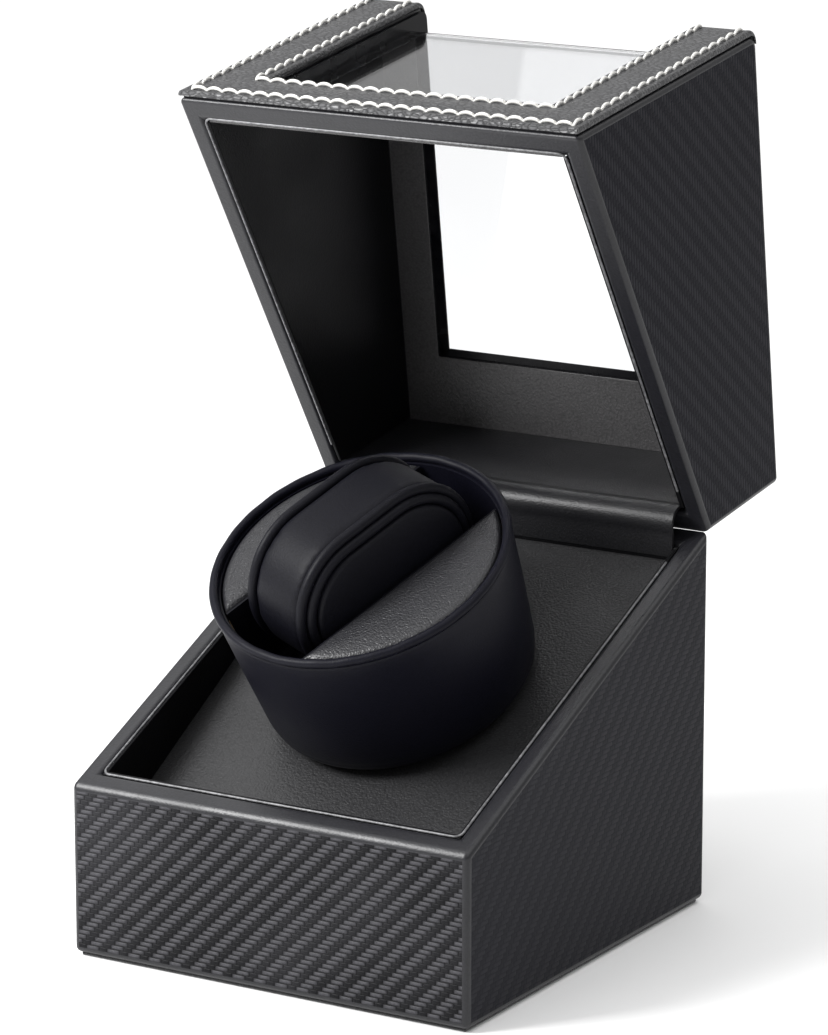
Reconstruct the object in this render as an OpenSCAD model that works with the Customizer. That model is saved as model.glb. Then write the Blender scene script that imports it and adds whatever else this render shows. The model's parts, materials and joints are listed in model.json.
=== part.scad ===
// Watch winder box: a slant-cut display box with a hinged windowed lid and a motor-turned barrel that holds one watch
// cushion. +Z is up, +X is to the right as seen from the front, and -Y is the front. The origin is the centre of the
// underside. The lid is drawn open, and every lid piece is written in its closed place and then swung open.

/* [Box] */
// Width across the side walls
body_w = 120; // [112:1:130]
// Depth from the front wall to the back wall
body_d = 126; // [122:1:134]
// Height of the low front edge of the base
front_h = 47; // [44:1:50]
// Height of the hinge line at the back of the base
hinge_h = 103; // [100:1:106]
// Height of the closed box
closed_h = 144; // [142:1:150]
// Thickness of the wrapped board walls
board = 5.8; // [5:0.1:6.5]
// Thickness of the inner lining panels
lining = 1.2; // [1:0.1:1.5]
// Angle from closed that the lid stands open
lid_open = 82; // [70:1:95]

/* [Window] */
// Thickness of the front and top frame boards of the lid
frame_t = 7; // [6:0.5:8]
// Half width of the window opening
window_half_w = 42; // [38:1:44]
// Height of the frame bar under the front window
front_bar_h = 18; // [15:1:20]
// Depth of the frame bar behind the top window
rear_bar_d = 20; // [14:1:22]
// Thickness of the stitched facing sheet on the front frame
facing_t = 2; // [1.5:0.1:2.5]
// Thickness of the bent acrylic pane
pane_t = 2; // [1.5:0.1:2.5]

/* [Deck] */
// Slope of the deck that the barrel stands on
deck_slope = 30; // [28:1:31]
// Height of the deck's top face at its front edge
deck_front_h = 31; // [29:1:33]
// Thickness of the deck panel
deck_t = 3; // [3:0.5:4]
// Distance of the spindle from the middle of the box, towards the back
spindle_y = 5.6; // [5:0.1:7]

/* [Barrel] */
// Outer radius of the cup at its rim
cup_top_r = 40.4; // [39:0.1:41]
// Outer radius of the cup at its foot
cup_base_r = 37; // [36:0.1:38]
// Height of the cup wall
cup_h = 41.8; // [40:0.1:43]
// Thickness of the cup wall
cup_t = 2.5; // [2:0.1:3]
// Half width of the slot between the shoulders
slot_half_w = 16; // [15:0.5:17]
// Angle that the barrel stands turned from straight up the slope
barrel_turn = 22; // [0:1:360]

/* [Cushion] */
// Half length of the cushion
cushion_half_l = 30; // [29:0.5:31.5]
// Height of the cushion
cushion_h = 42.8; // [40:0.2:43]
// Half thickness of the cushion
cushion_half_t = 14; // [12:0.5:14.5]
// Depth of each padded side disc
side_disc_t = 4; // [3:0.5:5]
// Step from the cushion's outline in to the side disc's outline
side_disc_step = 3; // [2:0.5:4]

/* [Drive] */
// Teeth on the spindle gear
gear_teeth = 36; // [36:1:36]
// Teeth on the motor pinion
pinion_teeth = 12; // [12:1:12]
// Gear module
gear_module = 1; // [1:1:1]
// Radius of the barrel spindle
spindle_r = 3; // [2.5:0.5:3]
// Radial clearance of turning shafts in their bushes
running_gap = 0.05; // [0.03:0.01:0.1]

/* [Controls] */
// Height of the control row on the back wall
control_z = 31; // [28:1:34]
// Distance of the inlet and the knob from the middle
control_x = 26; // [22:1:28]
// Radius of the power inlet's socket
inlet_r = 3.2; // [3:0.1:3.4]
// Radius of the power inlet's centre pin
inlet_pin_r = 1.05; // [0.9:0.05:1.25]
// Tilt of the rocker from its middle when off
rocker_tilt = 8; // [6:1:8]

/* [Hidden] */
$fn = 72;

half_w = body_w / 2;
half_d = body_d / 2;
inner_w = half_w - board;
felt_t = 1;
bottom_t = 4;
wall_in = board + lining;
cut_angle = atan((hinge_h - front_h) / body_d);
lining_drop = 0.5;
sides = [-1, 1];

// Barrel heights are measured from the deck's top face along the spindle.
cup_z = 2.2;
cup_floor_t = 3;
cup_top_z = cup_z + cup_h;
cup_edge_r = 3;
piping_r = 1.5;
piping_z = 0.6;
pad_t = 3.7;
pad_top_z = cup_top_z + 0.9;
slot_floor_z = 19.5;
slot_floor_t = 2;
cushion_z = slot_floor_z + slot_floor_t + 0.3;
hub_r = 6.5;
hub_collar_r = 5;
hub_flange_r = 12;
hub_flange_t = 2;
hub_top_z = 12.5;
hub_screw_pcr = 9.3;

// Drive heights run down from the deck's top face.
plate_t = 2.5;
lower_plate_t = 2;
top_plate_z = -deck_t - plate_t;
lower_plate_z = -18.5;
lower_plate_top = lower_plate_z + lower_plate_t;
gear_z = -14;
gear_t = 6;
motor_x = -gear_module * (gear_teeth + pinion_teeth) / 2;
plate_x0 = motor_x - 15;
plate_x1 = 24;
plate_half_y = 21;
post_r = 3;
post_x = [motor_x - 10, 19];
post_y = 17;
bracket_screw_x = [motor_x - 12, 21];
bracket_screw_y = 9;
screw_r = 1.25;
upper_bush_r = 5;
lower_bush_r = 4.5;
bush_flange_t = 0.8;
gearbox_r = 12.5;
gearbox_h = 9.5;
can_r = 10.2;
can_h = 16;
pilot_r = 3.5;
motor_shaft_r = 1.5;
motor_screw_pcr = 8.5;
motor_screw_r = 1;
pressure_angle = 25;
tooth_backlash = 0.14;
flank_steps = 3;

// Controls stand on the back wall's outer face.
plate_proud = 1.2;
board_y = 44;
board_t = 1.6;
inlet_shell_r = 4.2;
inlet_flange_r = 5.6;
inlet_flange_t = 1;
inlet_depth = 10;
inlet_face_y = half_d + plate_proud + inlet_flange_t;
rocker_axis_y = half_d - 1.5;
switch_w = 19;
switch_h = 12.8;
switch_bezel_w = 22;
switch_bezel_h = 15.5;
switch_bezel_t = 1.6;
rocker_w = 13.6;
rocker_h = 9.8;
rocker_pivot_r = 0.8;
selector_shaft_r = 3;
selector_bush_r = 4.2;
knob_r = 7.5;
knob_h = 9;
knob_gap = 0.6;

// Two hinges, each with outer knuckles on the base and a middle knuckle on the lid.
hinge_x = 34;
hinge_half_l = 11;
knuckle_half_l = 3.8;
knuckle_gap = 0.2;
knuckle_r = 2;
knuckle_room = 0.3;
hinge_pin_r = 1;
leaf_t = 1;
leaf_d = 5.2;

magnet_x = 46;
magnet_r = 1.5;
magnet_h = 2.5;
magnet_cover = 0.3;

leather = [0.09, 0.09, 0.10];
carbon = [0.17, 0.17, 0.19];
soft_leather = [0.06, 0.06, 0.07];
wood_board = [0.55, 0.43, 0.30];
steel = [0.70, 0.70, 0.72];
brass = [0.78, 0.62, 0.30];
nylon = [0.90, 0.90, 0.86];
black_plastic = [0.05, 0.05, 0.05];

// ---- places and shared shapes ----

// Height of the slanted cut between the base and the lid.
function cut_z(y) = front_h + (y + half_d) * tan(cut_angle);

// Height of the deck's top face.
function deck_z(y) = deck_front_h + (y + half_d - wall_in) * tan(deck_slope);

// Outer radius of the tapered cup.
function cup_r(z) = cup_base_r + (cup_top_r - cup_base_r) * (z - cup_z) / cup_h;

// Points of an arc.
function arc(cx, cy, r, a0, a1, steps = 6) =
    [for (i = [0:steps]) let (a = a0 + (a1 - a0) * i / steps) [cx + r * cos(a), cy + r * sin(a)]];

// Extrudes a (y, z) outline from x0 to x1.
module slab(x0, x1, outline) {
    translate([x0, 0, 0]) rotate([90, 0, 90]) linear_extrude(x1 - x0) polygon(outline);
}

// Box between two corners.
module block(low, high) {
    translate(low) cube(high - low);
}

// Spindle frame: on the deck's top face, with z out along the spindle.
module on_deck() {
    translate([0, spindle_y, deck_z(spindle_y)]) rotate([deck_slope, 0, 0]) children();
}

// Barrel frame: the spindle frame turned so that y runs along the slot.
module on_barrel() {
    on_deck() rotate([0, 0, -barrel_turn]) children();
}

// Swings closed lid pieces open about the hinge line.
module in_lid() {
    translate([0, half_d, hinge_h]) rotate([-lid_open, 0, 0]) translate([0, -half_d, -hinge_h]) children();
}

// Frame on the hinge line, with y along the slanted cut and z square to it.
module on_hinge(x) {
    translate([x, half_d, hinge_h]) rotate([cut_angle, 0, 0]) children();
}

// Frame on the slanted cut in the middle of the front wall's thickness.
module on_front_edge(x) {
    translate([x, board / 2 - half_d, cut_z(board / 2 - half_d)]) rotate([cut_angle, 0, 0]) children();
}

// A cylinder along Y that starts at y.
module rod_y(x, y, z, r, length) {
    translate([x, y, z]) rotate([-90, 0, 0]) cylinder(r = r, h = length);
}

// A cylinder along X, centred at x.
module rod_x(x, r, length) {
    translate([x - length / 2, 0, 0]) rotate([0, 90, 0]) cylinder(r = r, h = length);
}

// ---- base ----

module underside_felt() {
    color(soft_leather) block([1.5 - half_w, 1.5 - half_d, 0], [half_w - 1.5, half_d - 1.5, felt_t]);
}

module bottom_board() {
    color(wood_board) block([-inner_w, board - half_d, felt_t], [inner_w, half_d - board, felt_t + bottom_t]);
}

module base_front_wall() {
    back = board - half_d;
    color(carbon) difference() {
        slab(-half_w, half_w, [[-half_d, felt_t], [back, felt_t], [back, cut_z(back)], [-half_d, front_h]]);
        for (s = sides) on_front_edge(s * magnet_x)
            translate([0, 0, -magnet_h - magnet_cover]) cylinder(r = magnet_r, h = 2 * magnet_h);
    }
}

module base_back_wall() {
    front = half_d - board;
    color(carbon) difference() {
        slab(-half_w, half_w, [[front, felt_t], [half_d, felt_t], [half_d, hinge_h], [front, cut_z(front)]]);
        hinge_pockets();
        rod_y(-control_x, front - 1, control_z, inlet_shell_r, board + 2);
        rod_y(control_x, front - 1, control_z, selector_bush_r, board + 2);
        block([-switch_w / 2, front - 1, control_z - switch_h / 2], [switch_w / 2, half_d + 1, control_z + switch_h / 2]);
    }
}

module base_side_wall(s) {
    front = board - half_d;
    x = s < 0 ? -half_w : inner_w;
    color(carbon) slab(x, x + board, [[front, felt_t], [-front, felt_t], [-front, cut_z(-front)], [front, cut_z(front)]]);
}

module base_left_wall() { base_side_wall(-1); }
module base_right_wall() { base_side_wall(1); }

// Outline of a lining panel that stands on the deck between two depths.
function lining_outline(y0, y1) =
    [[y0, deck_z(y0)], [y1, deck_z(y1)], [y1, cut_z(y1) - lining_drop], [y0, cut_z(y0) - lining_drop]];

module base_front_lining() {
    color(leather) slab(-inner_w, inner_w, lining_outline(board - half_d, wall_in - half_d));
}

module base_back_lining() {
    color(leather) slab(-inner_w, inner_w, lining_outline(half_d - wall_in, half_d - board));
}

module base_side_linings() {
    color(leather) for (x = [-inner_w, inner_w - lining])
        slab(x, x + lining, lining_outline(wall_in - half_d, half_d - wall_in));
}

module base_magnets() {
    color(steel) for (s = sides) on_front_edge(s * magnet_x)
        translate([0, 0, -magnet_h - magnet_cover]) cylinder(r = magnet_r, h = magnet_h);
}

module deck_panel() {
    y0 = board - half_d;
    y1 = half_d - board;
    drop = deck_t / cos(deck_slope);
    color(leather) difference() {
        slab(-inner_w, inner_w, [[y0, deck_z(y0) - drop], [y1, deck_z(y1) - drop], [y1, deck_z(y1)], [y0, deck_z(y0)]]);
        on_deck() {
            translate([0, 0, -2 * deck_t]) cylinder(r = upper_bush_r, h = 3 * deck_t);
            for (x = bracket_screw_x, s = sides)
                translate([x, s * bracket_screw_y, -2 * deck_t]) cylinder(r = screw_r, h = 2 * deck_t - 1);
        }
    }
}

// Wooden battens glued under the deck's side edges.
module deck_battens() {
    batten = 7;
    top = deck_t / cos(deck_slope);
    color(wood_board) for (x = [-inner_w, inner_w - batten])
        slab(x, x + batten, [for (p = [[-45, 0], [45, 0], [45, 1], [-45, 1]])
            [p[0], deck_z(p[0]) - top - p[1] * batten]]);
}

// ---- drive ----

module drive_top_plate() {
    color(steel) on_deck() difference() {
        block([plate_x0, -plate_half_y, top_plate_z], [plate_x1, plate_half_y, -deck_t]);
        translate([0, 0, top_plate_z - 1]) cylinder(r = upper_bush_r, h = plate_t + 2);
        for (x = bracket_screw_x, s = sides)
            translate([x, s * bracket_screw_y, top_plate_z - 1]) cylinder(r = screw_r, h = plate_t + 2);
    }
}

module drive_lower_plate() {
    color(steel) on_deck() difference() {
        block([plate_x0, -plate_half_y, lower_plate_z], [plate_x1, plate_half_y, lower_plate_top]);
        translate([0, 0, lower_plate_z - 1]) cylinder(r = lower_bush_r, h = lower_plate_t + 2);
        translate([motor_x, 0, lower_plate_z - 1]) cylinder(r = pilot_r, h = lower_plate_t + 2);
        for (s = sides) translate([motor_x, s * motor_screw_pcr, lower_plate_z - 1])
            cylinder(r = motor_screw_r, h = lower_plate_t + 2);
    }
}

module drive_posts() {
    color(brass) on_deck() for (x = post_x, s = sides)
        translate([x, s * post_y, lower_plate_top]) cylinder(r = post_r, h = top_plate_z - lower_plate_top);
}

module bracket_screws() {
    head_h = 1.8;
    color(steel) on_deck() for (x = bracket_screw_x, s = sides) translate([x, s * bracket_screw_y, top_plate_z - head_h]) {
        cylinder(r = 2.5, h = head_h);
        cylinder(r = screw_r, h = head_h + plate_t + deck_t - 1);
    }
}

module upper_bush() {
    color(brass) on_deck() difference() {
        union() {
            translate([0, 0, top_plate_z]) cylinder(r = upper_bush_r, h = -top_plate_z);
            cylinder(r = upper_bush_r + 2, h = bush_flange_t);
        }
        translate([0, 0, top_plate_z - 1]) cylinder(r = spindle_r + running_gap, h = 2 - top_plate_z + bush_flange_t);
    }
}

module lower_bush() {
    color(brass) on_deck() difference() {
        union() {
            translate([0, 0, lower_plate_z]) cylinder(r = lower_bush_r, h = lower_plate_t);
            translate([0, 0, lower_plate_top]) cylinder(r = lower_bush_r + 1.5, h = bush_flange_t);
        }
        translate([0, 0, lower_plate_z - 1])
            cylinder(r = spindle_r + running_gap, h = lower_plate_t + bush_flange_t + 2);
    }
}

module motor_gearbox() {
    color(steel) on_deck() translate([motor_x, 0, lower_plate_z]) difference() {
        union() {
            translate([0, 0, -gearbox_h]) cylinder(r = gearbox_r, h = gearbox_h);
            cylinder(r = pilot_r, h = lower_plate_t);
        }
        translate([0, 0, -gearbox_h / 2]) cylinder(r = motor_shaft_r + running_gap, h = gearbox_h);
        for (s = sides) translate([0, s * motor_screw_pcr, -3]) cylinder(r = motor_screw_r, h = 4);
    }
}

module motor_can() {
    color(steel) on_deck() translate([motor_x, 0, lower_plate_z - gearbox_h]) {
        translate([0, 0, -can_h]) cylinder(r = can_r, h = can_h);
        translate([0, 0, -can_h - 1.5]) cylinder(r = 3, h = 1.5);
        for (s = sides) translate([s * 6 - 0.4, -1, -can_h - 3]) cube([0.8, 2, 3]);
    }
}

module motor_screws() {
    head_h = 1.1;
    color(steel) on_deck() for (s = sides) translate([motor_x, s * motor_screw_pcr, lower_plate_z - 2.5]) {
        cylinder(r = motor_screw_r, h = lower_plate_t + 2.5);
        translate([0, 0, lower_plate_t + 2.5]) cylinder(r = 1.8, h = head_h);
    }
}

module motor_shaft() {
    reach = gear_z + gear_t - lower_plate_z;
    color(steel) on_deck() translate([motor_x, 0, lower_plate_z - gearbox_h / 2 + 0.2])
        cylinder(r = motor_shaft_r, h = reach + gearbox_h / 2 + 0.6);
}

// The angle that an involute has turned when its pressure angle is a.
function involute(a) = tan(a) * 180 / PI - a;

// Half the angle that one tooth fills at radius r.
function tooth_half_angle(teeth, r) =
    let (pitch_r = gear_module * teeth / 2, base_r = pitch_r * cos(pressure_angle))
    90 / teeth - tooth_backlash / pitch_r * 90 / PI + involute(pressure_angle)
    - (r > base_r ? involute(acos(base_r / r)) : 0);

function tooth_flank(teeth, low_r, tip_r) =
    [for (i = [0:flank_steps]) let (r = low_r + (tip_r - low_r) * i / flank_steps) [r, tooth_half_angle(teeth, r)]];

// Outline of a spur gear with its first tooth centred on angle turn.
function gear_outline(teeth, turn) =
    let (
        pitch_r = gear_module * teeth / 2,
        root_r = pitch_r - 1.25 * gear_module,
        low_r = max(root_r + 0.05, pitch_r * cos(pressure_angle)),
        flank = tooth_flank(teeth, low_r, pitch_r + gear_module),
        root = [root_r, tooth_half_angle(teeth, low_r)],
        rise = concat([root], flank),
        count = len(rise)
    )
    [for (t = [0:teeth - 1], i = [0:2 * count - 1])
        let (
            p = i < count ? rise[i] : rise[2 * count - 1 - i],
            a = turn + t * 360 / teeth + (i < count ? -p[1] : p[1])
        )
        [p[0] * cos(a), p[0] * sin(a)]];

module motor_pinion() {
    color(brass) on_deck() translate([motor_x, 0, gear_z]) difference() {
        linear_extrude(gear_t) polygon(gear_outline(pinion_teeth, 180 / pinion_teeth));
        translate([0, 0, -1]) cylinder(r = motor_shaft_r, h = gear_t + 2);
    }
}

module spindle_gear() {
    hub_len = gear_z - lower_plate_top - bush_flange_t - 0.1;
    color(nylon) on_deck() difference() {
        union() {
            translate([0, 0, gear_z]) linear_extrude(gear_t) polygon(gear_outline(gear_teeth, 0));
            translate([0, 0, gear_z - hub_len]) cylinder(r = spindle_r + 3, h = hub_len);
        }
        translate([0, 0, gear_z - 4]) cylinder(r = spindle_r, h = gear_t + 8);
    }
}

module spindle() {
    foot = lower_plate_z - 1.1;
    color(steel) on_deck() translate([0, 0, foot]) cylinder(r = spindle_r, h = hub_top_z - 0.5 - foot);
}

module retaining_clip() {
    color(steel) on_deck() translate([0, 0, lower_plate_z - 0.7]) difference() {
        cylinder(r = spindle_r + 2, h = 0.6);
        translate([0, 0, -1]) cylinder(r = spindle_r, h = 3);
        translate([-1, spindle_r * 0.7, -1]) cube([2, spindle_r + 2, 3]);
    }
}

// ---- controls on the back ----

module control_board() {
    color([0.05, 0.30, 0.15]) block([-38, board_y, 16], [38, board_y + board_t, 46]);
}

module control_plate() {
    w = 38;
    h = 13;
    r = 3;
    color([0.12, 0.12, 0.13]) difference() {
        translate([0, half_d + plate_proud, control_z]) rotate([90, 0, 0]) linear_extrude(plate_proud) {
            square([2 * (w - r), 2 * h], center = true);
            square([2 * w, 2 * (h - r)], center = true);
            for (sx = sides, sz = sides) translate([sx * (w - r), sz * (h - r)]) circle(r = r);
        }
        rod_y(-control_x, half_d - 1, control_z, inlet_shell_r, 4);
        rod_y(control_x, half_d - 1, control_z, selector_bush_r, 4);
        block([-switch_w / 2, half_d - 1, control_z - switch_h / 2],
              [switch_w / 2, half_d + 4, control_z + switch_h / 2]);
    }
}

module control_plate_screws() {
    color(steel) for (sx = sides, sz = sides)
        rod_y(sx * 35, half_d + plate_proud, control_z + sz * 10, 1.6, 0.8);
}

module power_inlet() {
    shell_y = half_d - board;
    color(black_plastic) difference() {
        union() {
            block([-control_x - 5, board_y + board_t, control_z - 5], [-control_x + 5, shell_y, control_z + 5]);
            rod_y(-control_x, shell_y, control_z, inlet_shell_r, board + plate_proud);
            rod_y(-control_x, half_d + plate_proud, control_z, inlet_flange_r, inlet_flange_t);
        }
        rod_y(-control_x, inlet_face_y - inlet_depth, control_z, inlet_r, inlet_depth + 1);
    }
}

module power_inlet_pin() {
    color(steel) rod_y(-control_x, inlet_face_y - inlet_depth, control_z, inlet_pin_r, inlet_depth - 1.4);
}

module switch_housing() {
    back = board_y + board_t;
    face = half_d + plate_proud;
    cavity_w = rocker_w + 1.8;
    cavity_h = rocker_h + 0.4;
    color(black_plastic) translate([0, 0, control_z]) difference() {
        union() {
            block([-switch_w / 2, back, -switch_h / 2], [switch_w / 2, face, switch_h / 2]);
            block([-switch_bezel_w / 2, face, -switch_bezel_h / 2],
                  [switch_bezel_w / 2, face + switch_bezel_t, switch_bezel_h / 2]);
        }
        block([-cavity_w / 2, rocker_axis_y - 3.2, -cavity_h / 2], [cavity_w / 2, face + 5, cavity_h / 2]);
        translate([0, rocker_axis_y, -rocker_h / 2 - 1.1]) cylinder(r = rocker_pivot_r + running_gap, h = rocker_h + 2.2);
    }
}

module power_rocker() {
    half = rocker_w / 2;
    color(black_plastic) translate([0, rocker_axis_y, control_z]) rotate([0, 0, -rocker_tilt]) {
        translate([0, 0, -rocker_h / 2]) linear_extrude(rocker_h)
            polygon([[-half, -1.5], [half, -1.5], [half, 5.2], [0, 3.8], [-half, 5.2]]);
        translate([0, 0, -rocker_h / 2 - 1]) cylinder(r = rocker_pivot_r, h = rocker_h + 2);
    }
}

module selector_body() {
    shell_y = half_d - board;
    nut_y = half_d + plate_proud;
    color(steel) difference() {
        union() {
            block([control_x - 6, board_y + board_t, control_z - 6], [control_x + 6, shell_y, control_z + 6]);
            rod_y(control_x, shell_y, control_z, selector_bush_r, board + plate_proud);
            rod_y(control_x, nut_y, control_z, selector_bush_r + 1.6, inlet_flange_t);
        }
        rod_y(control_x, board_y + board_t + 2, control_z, selector_shaft_r + running_gap, 40);
    }
}

module selector_shaft() {
    foot = board_y + board_t + 2.2;
    tip = half_d + plate_proud + inlet_flange_t + knob_gap + knob_h - 2;
    color(steel) rod_y(control_x, foot, control_z, selector_shaft_r, tip - foot);
}

module selector_knob() {
    y0 = half_d + plate_proud + inlet_flange_t + knob_gap;
    grips = 14;
    color(black_plastic) difference() {
        rod_y(control_x, y0, control_z, knob_r, knob_h);
        rod_y(control_x, y0 - 1, control_z, selector_shaft_r, knob_h - 1);
        for (i = [0:grips - 1]) let (a = 90 + (i + 0.5) * 360 / grips)
            rod_y(control_x + (knob_r + 0.6) * cos(a), y0 + 2, control_z + (knob_r + 0.6) * sin(a), 1.2, knob_h);
        block([control_x - 0.5, y0 + knob_h - 0.6, control_z + 1], [control_x + 0.5, y0 + knob_h + 1, control_z + knob_r + 1]);
    }
}

// ---- hinges ----

// Room for the leaves and the knuckles, cut from both walls along the hinge line.
module hinge_pockets() {
    for (s = sides) on_hinge(s * hinge_x) {
        block([-hinge_half_l - knuckle_gap, -leaf_d, -leaf_t], [hinge_half_l + knuckle_gap, 1, leaf_t]);
        rod_x(0, knuckle_r + knuckle_room, 2 * (hinge_half_l + knuckle_gap));
    }
}

module hinge_leaf(z) {
    block([-hinge_half_l, -leaf_d, z], [hinge_half_l, -knuckle_r - knuckle_room, z + leaf_t]);
}

module knuckle(x, length, z) {
    rod_x(x, knuckle_r, length);
    block([x - length / 2, -knuckle_r - knuckle_room - 0.5, z], [x + length / 2, 0, z + leaf_t]);
}

module hinge_base_leaves() {
    outer_l = hinge_half_l - knuckle_half_l;
    color(brass) for (s = sides) on_hinge(s * hinge_x) difference() {
        union() {
            hinge_leaf(-leaf_t);
            for (e = sides) knuckle(e * (knuckle_half_l + outer_l / 2), outer_l, -leaf_t);
        }
        rod_x(0, hinge_pin_r, 3 * hinge_half_l);
    }
}

module hinge_pins() {
    color(steel) for (s = sides) on_hinge(s * hinge_x) rod_x(0, hinge_pin_r, 2 * hinge_half_l);
}

module hinge_lid_leaves() {
    color(brass) in_lid() for (s = sides) on_hinge(s * hinge_x) difference() {
        union() {
            hinge_leaf(0);
            knuckle(0, 2 * (knuckle_half_l - knuckle_gap), 0);
        }
        rod_x(0, hinge_pin_r + running_gap, 3 * hinge_half_l);
    }
}

// ---- lid ----

window_rear_y = half_d - board - lining - rear_bar_d;
window_foot_z = front_h + front_bar_h;
frame_in_y = frame_t - half_d;
frame_in_z = closed_h - frame_t;

module lid_side_wall(s) {
    x = s < 0 ? -half_w : inner_w;
    color(carbon) in_lid() slab(x, x + board,
        [[-half_d, front_h], [half_d, hinge_h], [half_d, closed_h], [-half_d, closed_h]]);
}

module lid_left_wall() { lid_side_wall(-1); }
module lid_right_wall() { lid_side_wall(1); }

module lid_back_wall() {
    front = half_d - board;
    color(carbon) in_lid() difference() {
        slab(-inner_w, inner_w, [[front, cut_z(front)], [half_d, hinge_h], [half_d, closed_h], [front, closed_h]]);
        hinge_pockets();
    }
}

module lid_front_bar() {
    color(carbon) in_lid() difference() {
        slab(-inner_w, inner_w, [[-half_d, front_h], [frame_in_y, cut_z(frame_in_y)],
            [frame_in_y, window_foot_z], [-half_d, window_foot_z]]);
        for (s = sides) on_front_edge(s * magnet_x) translate([0, 0, -1]) cylinder(r = magnet_r, h = 1 + magnet_cover + magnet_h);
    }
}

module lid_posts() {
    color(leather) in_lid() for (x = [-inner_w, window_half_w])
        block([x, -half_d, window_foot_z], [x + inner_w - window_half_w, frame_in_y, closed_h]);
}

module lid_rails() {
    color(leather) in_lid() for (x = [-inner_w, window_half_w])
        block([x, frame_in_y, frame_in_z], [x + inner_w - window_half_w, window_rear_y, closed_h]);
}

module lid_rear_bar() {
    color(leather) in_lid() block([-inner_w, window_rear_y, frame_in_z], [inner_w, half_d - board, closed_h]);
}

// U-shaped padded sheet on the lid's front frame, open where the window turns onto the top.
module facing_sheet() {
    inset = 0.3;
    w = half_w - inset;
    foot = front_h + inset;
    opening_w = window_half_w + 0.4;
    opening_foot = window_foot_z - 0.4;
    color(leather) in_lid() translate([0, -half_d, 0]) rotate([90, 0, 0]) linear_extrude(facing_t)
        polygon([[-w, foot], [w, foot], [w, closed_h], [opening_w, closed_h], [opening_w, opening_foot],
            [-opening_w, opening_foot], [-opening_w, closed_h], [-w, closed_h]]);
}

// One acrylic pane bent round the top front corner.
module window_pane() {
    y = frame_in_y - 2.6;
    z = closed_h - frame_t + 2.6;
    bend = 5;
    outline = concat(
        [[window_rear_y, z - pane_t], [window_rear_y, z]],
        arc(y + bend, z - bend, bend, 90, 180),
        [[y, window_foot_z], [y + pane_t, window_foot_z]],
        arc(y + bend, z - bend, bend - pane_t, 180, 90)
    );
    color([0.85, 0.88, 0.90, 0.35]) in_lid() slab(-window_half_w, window_half_w, outline);
}

module lid_side_linings() {
    y0 = frame_in_y;
    y1 = half_d - board - lining;
    color(soft_leather) in_lid() for (x = [-inner_w, inner_w - lining])
        slab(x, x + lining, [[y0, cut_z(y0) + lining_drop], [y1, cut_z(y1) + lining_drop], [y1, frame_in_z], [y0, frame_in_z]]);
}

module lid_back_lining() {
    y0 = half_d - board - lining;
    color(soft_leather) in_lid() slab(-inner_w, inner_w,
        [[y0, cut_z(y0) + lining_drop], [y0 + lining, cut_z(y0 + lining) + lining_drop],
         [y0 + lining, frame_in_z], [y0, frame_in_z]]);
}

module lid_magnets() {
    color(steel) in_lid() for (s = sides) on_front_edge(s * magnet_x)
        translate([0, 0, magnet_cover]) cylinder(r = magnet_r, h = magnet_h);
}

// ---- barrel ----

module barrel_cup() {
    z0 = cup_z;
    z1 = z0 + cup_floor_t;
    color(leather) on_deck() difference() {
        rotate_extrude() polygon(concat(
            [[hub_collar_r, z0]],
            arc(cup_base_r - cup_edge_r, z0 + cup_edge_r, cup_edge_r, -90, 0, 5),
            [[cup_r(cup_top_z), cup_top_z], [cup_r(cup_top_z) - cup_t, cup_top_z],
             [cup_r(z1) - cup_t, z1], [hub_collar_r, z1]]
        ));
        hub_screw_places() translate([0, 0, z0 - 1]) cylinder(r = screw_r, h = cup_floor_t + 2);
    }
}

module rim_piping() {
    mid_r = cup_top_r - cup_t / 2;
    color(leather) on_deck() rotate_extrude() polygon(concat(
        arc(mid_r, cup_top_z + piping_z, piping_r, 0, 180, 8),
        [[mid_r - piping_r, cup_top_z], [mid_r + piping_r, cup_top_z]]
    ));
}

// The inside of the cup between two heights, as a solid.
module cup_fill(z0, z1) {
    gap = 0.1;
    translate([0, 0, z0]) cylinder(r1 = cup_r(z0) - cup_t - gap, r2 = cup_r(z1) - cup_t - gap, h = z1 - z0);
}

// The two half-moons of the cup's inside, either side of the slot.
module shoulders(z0, z1) {
    for (s = sides) intersection() {
        cup_fill(z0, z1);
        translate([s > 0 ? slot_half_w : -slot_half_w - 60, -60, z0 - 1]) cube([60, 120, z1 - z0 + 2]);
    }
}

module shoulder_blocks() {
    color(wood_board) on_barrel() shoulders(cup_z + cup_floor_t, pad_top_z - pad_t);
}

module shoulder_pads() {
    color(leather) on_barrel() intersection() {
        shoulders(pad_top_z - pad_t, pad_top_z);
        cylinder(r = cup_top_r - cup_t / 2 - piping_r - 0.1, h = 100);
    }
}

module slot_floor() {
    w = slot_half_w;
    color(soft_leather) on_barrel() intersection() {
        cup_fill(slot_floor_z, slot_floor_z + slot_floor_t);
        translate([-w, -60, slot_floor_z - 1]) cube([2 * w, 120, slot_floor_t + 2]);
    }
}

module hub_screw_places() {
    for (i = [0:2]) rotate([0, 0, 30 + 120 * i]) translate([hub_screw_pcr, 0, 0]) children();
}

module barrel_hub() {
    z1 = cup_z + cup_floor_t;
    color(nylon) on_deck() difference() {
        rotate_extrude() polygon([
            [spindle_r, bush_flange_t + 0.1], [hub_collar_r, bush_flange_t + 0.1], [hub_collar_r, z1],
            [hub_flange_r, z1], [hub_flange_r, z1 + hub_flange_t], [hub_r, z1 + hub_flange_t],
            [hub_r, hub_top_z], [spindle_r, hub_top_z]
        ]);
        hub_screw_places() translate([0, 0, z1 - 1]) cylinder(r = screw_r, h = hub_flange_t + 2);
    }
}

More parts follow.
